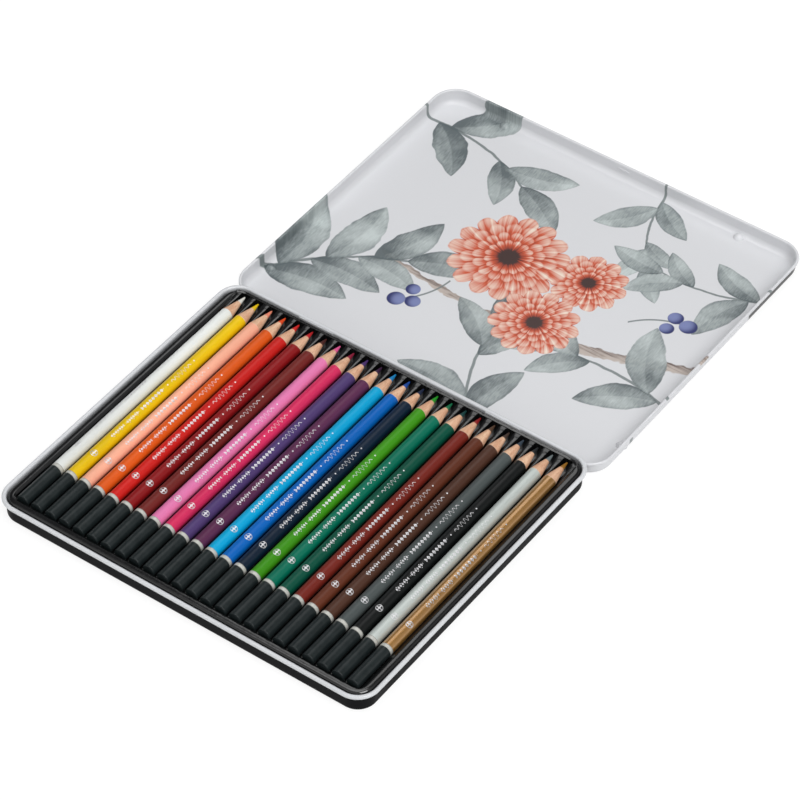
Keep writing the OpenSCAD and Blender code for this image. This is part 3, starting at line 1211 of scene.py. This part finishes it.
@dataclass
class FormedTray:
    """Vacuum-formed tray: grooves, a toothed row of tip pockets, sloping land, rim and skirt."""

    thickness: float = 0.0005
    groove_r: float = 0.00365
    rib_z: float = 0.0093
    floor_z: float = 0.00705
    pocket_end: float = 0.0024
    teeth_from: float = 0.0720
    tooth_top: float = 0.01172
    tooth_flat: float = 0.0027
    tooth_straight: float = 0.003
    pocket_least: float = 0.0002
    pit_corner: float = 0.0022
    rim_round: float = 0.0022
    corner: float = 0.00935
    run_in: float = 0.002
    floor_half: float = 0.004
    floor_bow: float = 0.0006
    unevenness: float = 0.00002
    wave_scale: float = 900.0
    side_gap: float = 0.0011
    front_gap: float = 0.0002
    tip_gap: float = 0.0020
    brow: float = 0.00022
    wall_share: float = 0.72
    brow_share: float = 0.8
    count: int = 24
    shares: tuple[float, ...] = (0.0, 0.2, 0.4, 0.6, 0.72, 0.76, 0.8, 0.9)
    tooth_rounding: tuple[Point, ...] = ((0.72, 0.0012), (0.76, 0.0004), (0.8, 0.00012), (0.9, 0.00002))
    ridge_rounding: tuple[Point, ...] = ((0.72, 0.0001), (0.76, 0.00003))
    barrel_from: float = 0.02
    barrel_step: float = 0.0305
    front_steps: tuple[float, ...] = (0.0, 0.0005, 0.0011, 0.0017, 0.0022, 0.0028, 0.0034, 0.0040, 0.0046)
    side_wall: tuple[Point, ...] = (
        (0.0, 0.0),
        (0.00005, 0.0003),
        (0.0002, 0.0011),
        (0.00034, 0.00155),
        (0.00055, 0.0018),
        (0.0009, 0.0019),
    )
    back_wall: tuple[Point, ...] = (
        (0.0, 0.0),
        (0.00004, 0.0003),
        (0.0001, 0.0014),
        (0.00016, 0.0021),
        (0.00023, 0.00236),
        (0.0003, 0.00242),
    )
    axis_z: float = field(init=False)
    left: float = field(init=False)
    pitch: float = field(init=False)
    pit_x: float = field(init=False)
    pit_front: float = field(init=False)
    pit_back: float = field(init=False)
    cols: list[Point] = field(init=False)
    lines: list[float] = field(init=False)

    def build(self) -> bpy.types.Object:
        """Builds and dresses the tray in place of its solid.

        Returns:
            The piece's object.
        """
        low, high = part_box("tray")
        first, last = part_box("pencil_01_white"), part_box("pencil_24_gold")
        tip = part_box("lead_01_white")[1].y
        self.axis_z = (first[0].z + first[1].z) / 2
        self.left = (first[0].x + first[1].x) / 2
        self.pitch = ((last[0].x + last[1].x) / 2 - self.left) / (self.count - 1)
        self.pit_x = last[1].x + self.side_gap
        self.pit_front = first[0].y - self.front_gap
        self.pit_back = tip + self.tip_gap
        bm = bmesh.new()
        self.pit(bm)
        self.rim(bm, low, high)
        bmesh.ops.remove_doubles(bm, verts=bm.verts, dist=MERGE)
        bmesh.ops.recalc_face_normals(bm, faces=bm.faces)
        if max(bm.faces, key=lambda face: face.calc_area()).normal.z < 0:
            bmesh.ops.reverse_faces(bm, faces=bm.faces)
        skins = [MouldedPlastic().make()]
        piece = make_piece(bm, "tray_formed", skins, "tray", ["tray"], crease=60.0)
        wall = piece.modifiers.new("sheet thickness", "SOLIDIFY")
        wall.thickness = self.thickness
        wall.offset = -1.0
        piece.modifiers.move(len(piece.modifiers) - 1, 0)
        return piece

    def columns(self) -> list[Point]:
        """Columns of the pit as groove number and signed share of the half pitch.

        Returns:
            The columns, from left to right.
        """
        mirrored = [-share for share in reversed(self.shares) if share > 0]
        groove = (-1.0, *mirrored, *self.shares)
        return [(k, share) for k in range(self.count) for share in groove] + [(self.count - 1, 1.0)]

    def rows(self) -> list[float]:
        """Rows of the grooved floor from the dipped ends to the tips.

        Returns:
            Their places along Y, in order.
        """
        front = [self.pit_front + step for step in self.front_steps]
        barrel = [self.pit_front + self.barrel_from + self.barrel_step * i for i in range(5)]
        teeth = [self.teeth_from - 0.0008, self.teeth_from - 0.0002]
        round_y, start = self.pit_back - self.pocket_end, self.teeth_from + 0.0004
        slope = [start + (round_y - start) * i / 20 for i in range(21)]
        end = [round_y + self.pocket_end * math.sin(math.radians(a)) for a in (15, 30, 45, 58, 68, 76, 82)]
        return front + barrel + teeth + slope + end

    def ridge(self, y: float) -> float:
        """Height of the ridges between the pencils at one place along them.

        Args:
            y: Place along the pencils.

        Returns:
            The height.
        """
        end = self.pit_back - self.tooth_flat
        rise = min(1.0, max(0.0, (y - self.teeth_from) / (end - self.teeth_from)))
        return self.rib_z + (self.tooth_top - self.rib_z) * rise

    def pocket_half(self, y: float) -> float:
        """Half width of a groove or tip pocket at one place along it.

        Args:
            y: Place along the pencils.

        Returns:
            The half width.
        """
        straight = self.teeth_from + self.tooth_straight
        round_y = self.pit_back - self.pocket_end
        if y < self.teeth_from:
            return math.sqrt(self.groove_r**2 - (self.axis_z - self.rib_z) ** 2)
        if y <= round_y:
            share = max(0.0, (y - straight) / (round_y - straight))
            return self.groove_r - (self.groove_r - self.pocket_end) * share
        return math.sqrt(max(0.0, self.pocket_end**2 - (y - round_y) ** 2)) + self.pocket_least

    def height(self, offset: float, y: float, share: float) -> float:
        """Height of the sheet beside a pencil's axis.

        Args:
            offset: Distance from the axis.
            y: Place along the pencil.
            share: Share of the half pitch, which tells floor, wall and ridge apart.

        Returns:
            Height of the sheet's upper side.
        """
        top = self.ridge(y)
        rounding = dict(self.tooth_rounding if y >= self.teeth_from else self.ridge_rounding)
        if share > self.wall_share:
            return top - rounding.get(share, 0.0)
        groove = self.axis_z - math.sqrt(max(0.0, self.groove_r**2 - min(offset, self.groove_r) ** 2))
        groove = min(groove, top - rounding[self.wall_share])
        depth = min(1.0, max(0.0, (y - self.teeth_from) / self.run_in))
        flat = self.floor_z + (offset / self.floor_half) ** 2 * self.floor_bow
        return groove + (flat - groove) * depth

    def pit(self, bm: BMesh) -> None:
        """Lays out the grooves and pockets as one grid and bends it into shape.

        Args:
            bm: The mesh.
        """
        self.cols, self.lines = self.columns(), self.rows()
        wide = len(self.cols) + 2 * len(self.side_wall)
        deep = len(self.lines) + 2 * (len(self.side_wall) - 1)
        bmesh.ops.create_grid(bm, x_segments=wide - 1, y_segments=deep - 1, size=0.5)
        for vert in bm.verts:
            i = round((vert.co.x + 0.5) * (wide - 1))
            j = round((vert.co.y + 0.5) * (deep - 1))
            vert.co = self.grid_point(i, j, wide, deep)

    def beside(self, half: float, share: float) -> float:
        """Distance of a column from its pencil's axis.

        Args:
            half: Half width of the groove there.
            share: The column's share of the half pitch.

        Returns:
            The distance.
        """
        if share <= self.wall_share:
            return half * share / self.wall_share
        if share <= self.brow_share:
            return half + self.brow * (share - self.wall_share) / (self.brow_share - self.wall_share)
        edge = half + self.brow
        return edge + (self.pitch / 2 - edge) * (share - self.brow_share) / (1 - self.brow_share)

    def grid_point(self, i: int, j: int, wide: int, deep: int) -> Vector:
        """Place of one grid point of the pit.

        Args:
            i: Column number.
            j: Row number.
            wide: Number of columns.
            deep: Number of rows.

        Returns:
            The point.
        """
        n = len(self.side_wall)
        y = self.lines[min(max(j - (n - 1), 0), len(self.lines) - 1)]
        out_y = max(n - 1 - j, j - (deep - n), 0)
        back = j > n
        if i < n or i >= wide - n:
            out_x = n - 1 - i if i < n else i - (wide - n)
            x = math.copysign(self.pit_x + self.side_wall[out_x][0], i - n)
            z = max(self.rib_z + self.side_wall[out_x][1], self.ridge(y))
        else:
            k, share = self.cols[i - n]
            size = abs(share)
            offset = self.beside(self.pocket_half(y), size)
            x = self.left + k * self.pitch + math.copysign(offset, share)
            z = self.height(offset, y, size)
            if y > self.teeth_from and size > self.wall_share:
                wave = noise.noise(Vector((x, y, k * 0.01)) * self.wave_scale)
                x, z = x + self.unevenness * wave, z + 1.6 * self.unevenness * wave
        if out_y > 0:
            wall = self.back_wall if back else self.side_wall
            y = self.pit_back + wall[out_y][0] if back else self.pit_front - wall[out_y][0]
            z = max(z, self.rib_z + wall[out_y][1])
        return self.round_corner(Vector((x, y, z)))

    def round_corner(self, point: Vector) -> Vector:
        """Draws the pit's square corners into round ones.

        Args:
            point: The point.

        Returns:
            The same point, moved where it lay in a corner.
        """
        side, corner = math.copysign(1.0, point.x), self.pit_corner
        for centre_y, sense in ((self.pit_front + corner, -1.0), (self.pit_back - corner, 1.0)):
            dx = side * point.x - (self.pit_x - corner)
            dy = sense * (point.y - centre_y)
            if dx > 0 and dy > 0:
                pull = max(dx, dy) / math.hypot(dx, dy)
                point.x = side * (self.pit_x - corner + dx * pull)
                point.y = centre_y + sense * dy * pull
        return point

    def rim(self, bm: BMesh, low: Vector, high: Vector) -> None:
        """Grows the pit's edge outwards into the land, the rounded rim and the skirt.

        Args:
            bm: Mesh to build in.
            low: Lowest corner of the tray's box.
            high: Highest corner of the tray's box.
        """
        r, crest = self.rim_round, high.z
        lip = bm.verts.layers.float_vector.new("lip")
        border = [e for e in bm.edges if e.is_boundary]
        for vert in {v for e in border for v in e.verts}:
            vert[lip] = vert.co
        rise = ((0.15, 0.5), (0.3, 0.8), (0.5, 1.0), (1.0, 1.0))
        outer = arc((r, crest - r), -r, -90, 0, 9)[1:]
        skirt = [(0.0, (low.z + crest) / 2), (0.0, low.z)]
        for share, up in rise:
            border = self.grow(
                bm,
                border,
                lambda p: self.outward(p, r, high).lerp(p, 1 - share),
                lambda p: p.z + (crest - p.z) * up,
            )
        for inset, z in outer + skirt:
            border = self.grow(bm, border, lambda p: self.outward(p, inset, high), lambda p: z)

    def outward(self, point: Vector, inset: float, high: Vector) -> Vector:
        """Nearest place on the tray's outline drawn in by an inset.

        Args:
            point: The point.
            inset: How far to draw it in.
            high: Highest corner of the tray's box.

        Returns:
            The place, at height 0.
        """
        cx, cy = high.x - self.corner, high.y - self.corner
        anchor = Vector((min(max(point.x, -cx), cx), min(max(point.y, -cy), cy), 0))
        away = Vector((point.x, point.y, 0)) - anchor
        return anchor + away.normalized() * (self.corner - inset)

    def grow(
        self,
        bm: BMesh,
        border: list[BMEdge],
        plan: Callable[[Vector], Vector],
        level: Callable[[Vector], float],
    ) -> list[BMEdge]:
        """Extrudes the open edge by one step.

        Args:
            bm: Mesh to build in.
            border: Open edges.
            plan: Gives the new place in plan from a point of the pit's lip.
            level: Gives the new height from the same point.

        Returns:
            The new open edges.
        """
        lip = bm.verts.layers.float_vector["lip"]
        grown = bmesh.ops.extrude_edge_only(bm, edges=border)["geom"]
        verts = {v for v in grown if isinstance(v, BMVert)}
        for vert in verts:
            origin = Vector(vert[lip])
            spot = plan(origin)
            vert.co = (spot.x, spot.y, level(origin))
        return [e for e in grown if isinstance(e, BMEdge) and e.is_boundary and verts.issuperset(e.verts)]


# Lid


@dataclass
class TinLid:
    """Hinged lid: the solid's own sheet, merged, with its inside and outside told apart."""

    sheet: float = 0.0003
    foot: float = 0.0035
    curl: float = 0.0016
    corner: float = 0.01275
    height: float = 0.009
    half_depth: float = 0.0955

    def inside_print(self) -> PrintedLid:
        """Layout of the print inside the lid.

        Returns:
            The print.
        """
        return PrintedLid(
            "lid_inside_print",
            (
                Sprig(-0.124, 0.262, -10, 0.088, 0.42, 2, 1),
                Sprig(0.026, 0.296, -70, 0.064, 0.25, 2, -1),
                Sprig(0.122, 0.256, 196, 0.070, 0.34, 2, 1),
                Sprig(0.124, 0.150, 176, 0.086, 0.32, 2, -1),
                Sprig(0.046, 0.082, 116, 0.082, 0.44, 2, 1),
                Sprig(-0.122, 0.100, 44, 0.098, 0.38, 3, 1),
            ),
            Twig(0.118, 0.190, math.radians(187), 0.190, 0.09, 0.0036),
            (
                Bloom(0.030, 0.208, 0.022, 11),
                Bloom(-0.014, 0.200, 0.034, 15),
                Bloom(0.024, 0.168, 0.025, 13),
            ),
            (
                Sprig(-0.028, 0.168, -118, 0.030, 0.0),
                Sprig(0.062, 0.196, 30, 0.030, 0.0),
            ),
        )

    def outside_print(self) -> PrintedLid:
        """Layout of the print on the lid's outside, with the black band along its front.

        Returns:
            The print.
        """
        return PrintedLid(
            "lid_outside_print",
            (
                Sprig(-0.122, 0.106, 30, 0.094, 0.4, 2, 1),
                Sprig(0.120, 0.116, 154, 0.086, 0.32, 3, -1),
                Sprig(-0.124, 0.206, -14, 0.080, 0.3, 2, 1),
            ),
            Twig(-0.085, 0.140, math.radians(14), 0.170, 0.08, 0.0036),
            (
                Bloom(0.042, 0.190, 0.022, 11),
                Bloom(0.000, 0.180, 0.034, 15),
                Bloom(-0.044, 0.168, 0.024, 13),
            ),
            (
                Sprig(0.036, 0.160, -60, 0.030, 0.0),
                Sprig(-0.030, 0.200, 118, 0.030, 0.0),
            ),
            black_from=0.231,
        )

    def zone(self, face: BMFace, middle: Vector, half: Point) -> int:
        """Tells the lid's inside from its outside.

        Args:
            face: Face to place.
            middle: Middle of the lid.
            half: Half width and half depth inside the walls.

        Returns:
            0 for the printed inside and the rolled edge, 1 for the outside.
        """
        at = face.calc_center_median()
        dx = abs(at.x - middle.x) - (half[0] - self.corner)
        dy = abs(at.y - middle.y) - (half[1] - self.corner)
        out = math.hypot(max(dx, 0), max(dy, 0)) + min(max(dx, dy), 0) - self.corner
        roll = self.curl / 2
        if out > 0.2 * self.sheet and at.z > self.height - self.curl:
            near = math.hypot(out - roll, at.z - (self.height - roll))
            return 0 if near > roll - self.sheet / 2 else 1
        if at.z > self.foot:
            away = Vector((math.copysign(max(dx, 0), at.x), math.copysign(max(dy, 0), at.y - middle.y), 0))
            return 0 if out < self.sheet / 2 and face.normal.dot(away) < 0 else 1
        if out > self.sheet - self.foot:
            near = math.hypot(out - (self.sheet - self.foot), at.z - self.foot)
            return 0 if near < self.foot - self.sheet / 2 else 1
        return 0 if face.normal.z > 0 and at.z > self.sheet / 2 else 1

    def build(self) -> bpy.types.Object:
        """Builds and dresses the lid in place of its solid.

        Returns:
            The piece's object.
        """
        _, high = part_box("lid_pan")
        middle = Vector((0, high.y - self.curl - self.half_depth, 0))
        half = (high.x - self.curl, self.half_depth)
        bm = bmesh.new()
        bm.from_mesh(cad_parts["lid_pan"].data)
        bmesh.ops.remove_doubles(bm, verts=bm.verts, dist=MERGE)
        bmesh.ops.dissolve_limit(bm, angle_limit=math.radians(0.3), verts=bm.verts, edges=bm.edges)
        bm.normal_update()
        for face in bm.faces:
            face.material_index = self.zone(face, middle, half)
        sprig_group(2)
        sprig_group(3)
        bloom_group()
        berry_group()
        inside, outside = self.inside_print().make(), self.outside_print().make()
        return make_piece(bm, "lid_tin", [inside, outside], "lid", ["lid_pan"], crease=40.0)


# Pencils


@dataclass(frozen=True)
class Hue:
    """One pencil's colours: lacquer, lead, sheen, and the roll of its stamp in degrees."""

    word: str
    coat: Colour
    lead: Colour
    roll: float = 16.0
    sheen: Sheen = Sheen.SOLID


HUES = (
    Hue("white", srgb(233, 236, 233), srgb(232, 230, 222), -22),
    Hue("yellow", srgb(238, 198, 4), srgb(236, 196, 12), 14),
    Hue("peach", srgb(255, 182, 152), srgb(238, 140, 112), 20),
    Hue("orange", srgb(225, 92, 22), srgb(226, 74, 24), 17),
    Hue("red", srgb(210, 32, 27), srgb(212, 34, 30), 16),
    Hue("dark_red", srgb(140, 19, 23), srgb(190, 30, 36), 18),
    Hue("maroon", srgb(116, 37, 33), srgb(78, 34, 30), 15),
    Hue("pink", srgb(233, 126, 180), srgb(226, 90, 150), 20),
    Hue("magenta", srgb(219, 46, 97), srgb(140, 24, 56), 14),
    Hue("violet", srgb(80, 60, 113), srgb(76, 46, 110), 16),
    Hue("plum", srgb(92, 43, 78), srgb(58, 28, 62), 18),
    Hue("cyan", srgb(0, 166, 215), srgb(20, 130, 190), 15),
    Hue("blue", srgb(0, 101, 189), srgb(24, 74, 160), 17),
    Hue("navy", srgb(9, 31, 52), srgb(28, 38, 66), 19),
    Hue("light_green", srgb(62, 146, 19), srgb(34, 150, 34), 14),
    Hue("emerald", srgb(0, 115, 90), srgb(10, 110, 70), 16),
    Hue("dark_green", srgb(0, 82, 63), srgb(18, 62, 60), 15),
    Hue("brick_red", srgb(120, 38, 28), srgb(142, 30, 32), 18),
    Hue("brown", srgb(101, 51, 33), srgb(86, 62, 46), 17),
    Hue("dark_brown", srgb(79, 50, 38), srgb(72, 56, 48), 15),
    Hue("slate_grey", srgb(78, 85, 85), srgb(54, 66, 78), 18),
    Hue("black", srgb(15, 18, 18), srgb(36, 38, 40), 17),
    Hue("silver", srgb(200, 208, 204), srgb(112, 122, 124), 20, Sheen.SILVER),
    Hue("gold", srgb(184, 134, 66), srgb(150, 102, 30), 22, Sheen.GOLD),
)


@dataclass
class Pencil:
    """Round pencil: dipped end, light ring, lacquered barrel, cut wood and coloured lead."""

    number: int
    hue: Hue
    shared: dict[str, bpy.types.Material]
    end_round: float = 0.00042
    ring_from: float = 0.0252
    ring_width: float = 0.0020
    cone: float = 0.015
    ease: float = 0.0001
    dome: Point = (0.00002, 0.00008)
    dip_gap: float = 0.00015
    coat_rows: Point = (0.06, 0.11)
    paint_edge: float = 0.00006
    paint_sway: float = 0.00022
    primer: float = 0.00012
    wood_dish: float = 0.0002
    lead_in: float = 0.0004
    lead_taper: float = 0.985
    blunt: float = 0.00035
    nose: float = 0.00032
    steps: int = 48
    lead_steps: int = 32
    x: float = field(init=False)
    z: float = field(init=False)
    r: float = field(init=False)
    start: float = field(init=False)
    paint: float = field(init=False)
    bare: float = field(init=False)
    tip: float = field(init=False)
    lead_r: float = field(init=False)

    def build(self) -> list[bpy.types.Object]:
        """Builds the barrel and the lead in place of their solids.

        Returns:
            The barrel's and the lead's objects.
        """
        tag = f"{self.number:02d}_{self.hue.word}"
        low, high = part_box("pencil_" + tag)
        lead_low, lead_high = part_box("lead_" + tag)
        self.x, self.z = (low.x + high.x) / 2, (low.z + high.z) / 2
        self.r = min(high.x - low.x, high.z - low.z) / 2
        self.start, self.tip = low.y, lead_high.y
        self.lead_r = (lead_high.x - lead_low.x) / 2
        self.paint = self.tip - self.cone
        self.bare = high.y
        return [self.barrel(tag), self.lead(tag)]

    def barrel(self, tag: str) -> bpy.types.Object:
        """Builds the barrel with its dip, ring, lacquer, primer edge and wood.

        Args:
            tag: Number and colour word in the solids' names.

        Returns:
            The piece's object.
        """
        r, y0 = self.r, self.start
        ring_lo, ring_hi = y0 + self.ring_from, y0 + self.ring_from + self.ring_width
        edge, end = self.paint_edge, self.end_round
        dip = [(y0, 0.0), (y0 + self.dome[0], 0.5 * r), (y0 + self.dome[1], r - end)]
        for angle in (165, 145, 125, 105, 90):
            t = math.radians(angle)
            dip.append((y0 + end + self.ease + end * math.cos(t), r - end + end * math.sin(t)))
        dip.append((ring_lo - self.dip_gap, r))
        ring = [(ring_lo, r), (ring_hi, r)]
        middle = (y0 + step for step in self.coat_rows)
        coat = [(y, r) for y in (ring_hi + self.ease, *middle, self.paint - self.ease)]
        coat.append((self.paint, r - edge))
        cut, fall = self.bare - self.paint, r - self.lead_r
        primer = [(self.paint + self.primer, r - edge - fall / cut * self.primer)]
        wood = [(self.paint + cut * s, r - fall * s) for s in (0.25, 0.5, 0.75, 1.0)]
        wood.append((self.bare - self.wood_dish, 0.0))
        points = dip + ring + coat + primer + wood
        zones = [0] * len(dip) + [1] * len(ring) + [2] * (len(coat) - 1) + [3] * len(primer) + [4] * len(wood)
        bm = bmesh.new()
        turn_section(bm, points, self.x, self.z, self.steps)
        paint_by_run(bm, zones)
        self.scallop(bm, {len(dip) + len(ring) + len(coat) + step for step in (-2, -1, 0)})
        hue, roll = self.hue, math.radians(self.hue.roll)
        lacquer = Lacquer("lacquer_" + tag, hue.coat, self.x, self.z, r, ring_hi, roll, hue.sheen).make()
        shared = self.shared
        skins = [shared["dip"], shared["ring"], lacquer, shared["primer"], shared["wood"]]
        return make_piece(bm, "barrel_" + tag, skins, tag, ["pencil_" + tag], crease=30.0)

    def scallop(self, bm: BMesh, numbers: set[int]) -> None:
        """Lets the cut edge of the paint wander a little, each pencil in its own way.

        Args:
            bm: The mesh.
            numbers: Numbers of the section's points.
        """
        run = bm.verts.layers.float["run"]
        for vert in bm.verts:
            if round(vert[run]) in numbers:
                angle = math.atan2(vert.co.x - self.x, vert.co.z - self.z)
                sway = math.sin(angle + self.number) + 0.5 * math.sin(3 * angle + 1.7 * self.number)
                vert.co.y += self.paint_sway * sway

    def lead(self, tag: str) -> bpy.types.Object:
        """Builds the coloured lead from the end of the wood to the blunted tip.

        Args:
            tag: Number and colour word in the solids' names.

        Returns:
            The piece's object.
        """
        r, tip, nose = self.lead_r, self.tip, self.nose
        begin, length, fall = self.bare - self.lead_in, tip - self.bare, r - self.blunt
        points = [(begin, 0.0), (begin, r * self.lead_taper), (self.bare - self.ease, r)]
        points += [(self.bare + length * s, r - fall * s) for s in (0.3, 0.6, 0.88)]
        nose_r = self.blunt + fall / length * nose
        points += [(tip - nose + nose * math.sin(t), nose_r * math.cos(t)) for t in (0.0, 0.5, 0.95, 1.3)]
        points.append((tip, 0.0))
        bm = bmesh.new()
        turn_section(bm, points, self.x, self.z, self.lead_steps)
        skin = WaxLead("lead_wax_" + tag, self.hue.lead).make()
        return make_piece(bm, "lead_point_" + tag, [skin], tag, ["lead_" + tag], crease=45.0)


@dataclass
class PencilRow:
    """The row of pencils and the finishes that they share."""

    hues: tuple[Hue, ...] = HUES

    def build(self) -> None:
        """Builds every pencil of the row."""
        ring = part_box("pencil_01_white")[0].y + Pencil.ring_from
        shared = {
            "dip": DipCoat().make(),
            "ring": RingPaint(ring, ring + Pencil.ring_width).make(),
            "primer": TinEnamel("primer_pale", srgb(232, 214, 196), roughness=0.5).make(),
            "wood": PencilWood().make(),
        }
        for number, hue in enumerate(self.hues, 1):
            Pencil(number, hue, shared).build()


# Hinges


@dataclass
class Hinges:
    """The two hinge leaves and their wires, which keep their solids."""

    def build(self) -> None:
        """Gives the leaves enamel and the wires drawn steel."""
        enamel = TinEnamel("hinge_enamel_white", srgb(222, 223, 226)).make()
        steel = HingeSteel().make()
        for side in ("left", "right"):
            for stem, material in (("hinge_leaf_", enamel), ("hinge_wire_", steel)):
                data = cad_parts[stem + side].data
                data.materials.clear()
                data.materials.append(material)
                LOG.info("%s%s dressed", stem, side)


# Studio


@dataclass
class Studio:
    """Plain white floor, soft light and the camera."""

    eye: tuple[float, float, float] = (0.8239, -1.0474, 1.4064)
    aim: tuple[float, float, float] = (0.00150, 0.08374, 0.0)
    lens: float = 180.28
    sensor: float = 36.0
    floor_radius: float = 9.0
    backdrop: float = 1.8

    def build(self) -> None:
        """Builds the whole studio."""
        self.floor()
        self.world()
        self.lamps()
        self.camera()
        bpy.context.scene.view_settings.view_transform = "Standard"

    def floor(self) -> None:
        """Lays the pale floor, whose far edge rises as a backdrop."""
        bm = bmesh.new()
        bmesh.ops.create_circle(bm, cap_ends=True, segments=96, radius=self.floor_radius)
        grown = bmesh.ops.extrude_edge_only(bm, edges=bm.edges[:])["geom"]
        edge = [item for item in grown if isinstance(item, BMVert)]
        bmesh.ops.translate(bm, vec=(0, 0, self.backdrop), verts=edge)
        bmesh.ops.scale(bm, vec=(1.05, 1.05, 1), verts=edge)
        mesh = bpy.data.meshes.new("studio_floor")
        bm.to_mesh(mesh)
        bm.free()
        floor = bpy.data.objects.new("studio_floor", mesh)
        bpy.context.scene.collection.objects.link(floor)
        mesh.materials.append(self.paper())

    def paper(self) -> bpy.types.Material:
        """Makes the floor's paper: white where it is seen, with the object's shadow on it.

        Returns:
            The material.
        """
        material = bpy.data.materials.new("floor_paper")
        material.use_nodes = True
        material.node_tree.nodes.clear()
        graph = Graph(material.node_tree)
        grain = graph.noise(graph.place(), 40, 2)
        paper = graph.wire("BsdfDiffuse", graph.mottle(grain, (0.3, 0.7), grey(0.20), grey(0.21)))
        shown = graph.wire("AddShader", paper, graph.wire("Emission", grey(1.0), 0.86))
        path = graph.add("LightPath")
        seen = graph.maths("MAXIMUM", path.outputs["Is Camera Ray"], path.outputs["Is Glossy Ray"])
        seen = seen.most(Signal(graph, path.outputs["Is Transmission Ray"]))
        bounce = graph.wire("BsdfDiffuse", grey(0.86))
        graph.dress(graph.add("OutputMaterial"), Surface=graph.wire("MixShader", seen, bounce, shown))
        return material

    def world(self) -> None:
        """Sets a pale studio, brighter low in front and dim behind the object."""
        world = bpy.data.worlds.new("studio_world")
        world.use_nodes = True
        bpy.context.scene.world = world
        graph = Graph(world.node_tree)
        sky = world.node_tree.nodes["Background"]
        x, y, up = graph.axes(graph.add("TexCoord").outputs["Generated"])
        # How far a direction points away from the camera, in plan
        away = x * -0.588 + y * 0.809
        pale = graph.blend(away.fade(0.3, -0.1), grey(0.50), (0.10, 0.10, 0.105, 1))
        front = y.fade(-0.8, -0.35) * up.fade(0.35, 0.75)
        graph.dress(sky, Color=graph.blend(front, pale, grey(0.95)), Strength=1.0)

    def lamp(self, name: str, place: Sequence[float], size: Point, power: float) -> None:
        """Hangs one rectangular soft box aimed at the tin.

        Args:
            name: Name of the lamp.
            place: Where it hangs.
            size: Width and height.
            power: Power in watts.
        """
        light = bpy.data.lights.new(name, "AREA")
        light.shape = "RECTANGLE"
        light.size, light.size_y = size
        light.energy = power
        lamp = bpy.data.objects.new(name, light)
        lamp.location = place
        lamp.rotation_euler = (Vector(self.aim) - Vector(place)).to_track_quat("-Z", "Y").to_euler()
        bpy.context.scene.collection.objects.link(lamp)

    def lamps(self) -> None:
        """Hangs the soft boxes."""
        self.lamp("soft_box_over", (-0.15, 0.10, 1.90), (1.3, 1.3), 11.5)
        self.lamp("soft_box_right", (1.85, -0.56, 2.02), (1.5, 1.3), 34.0)
        self.lamp("soft_box_back", (-0.28, 1.12, 1.40), (1.1, 0.6), 3.0)

    def camera(self) -> None:
        """Sets the camera at the photograph's viewing angle."""
        data = bpy.data.cameras.new("camera")
        data.lens = self.lens
        data.sensor_width = self.sensor
        data.clip_end = 50.0
        camera = bpy.data.objects.new("camera", data)
        camera.location = self.eye
        camera.rotation_euler = (Vector(self.aim) - Vector(self.eye)).to_track_quat("-Z", "Y").to_euler()
        bpy.context.scene.collection.objects.link(camera)
        bpy.context.scene.camera = camera


def main() -> None:
    """Builds the studio and the tin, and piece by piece."""
    logging.basicConfig(level=logging.INFO, format="%(name)s: %(message)s")
    for part in (Studio(), TinBase(), FormedTray(), TinLid(), Hinges(), PencilRow()):
        LOG.info("building %s", type(part).__name__)
        part.build()


if __name__ == "__main__":
    main()
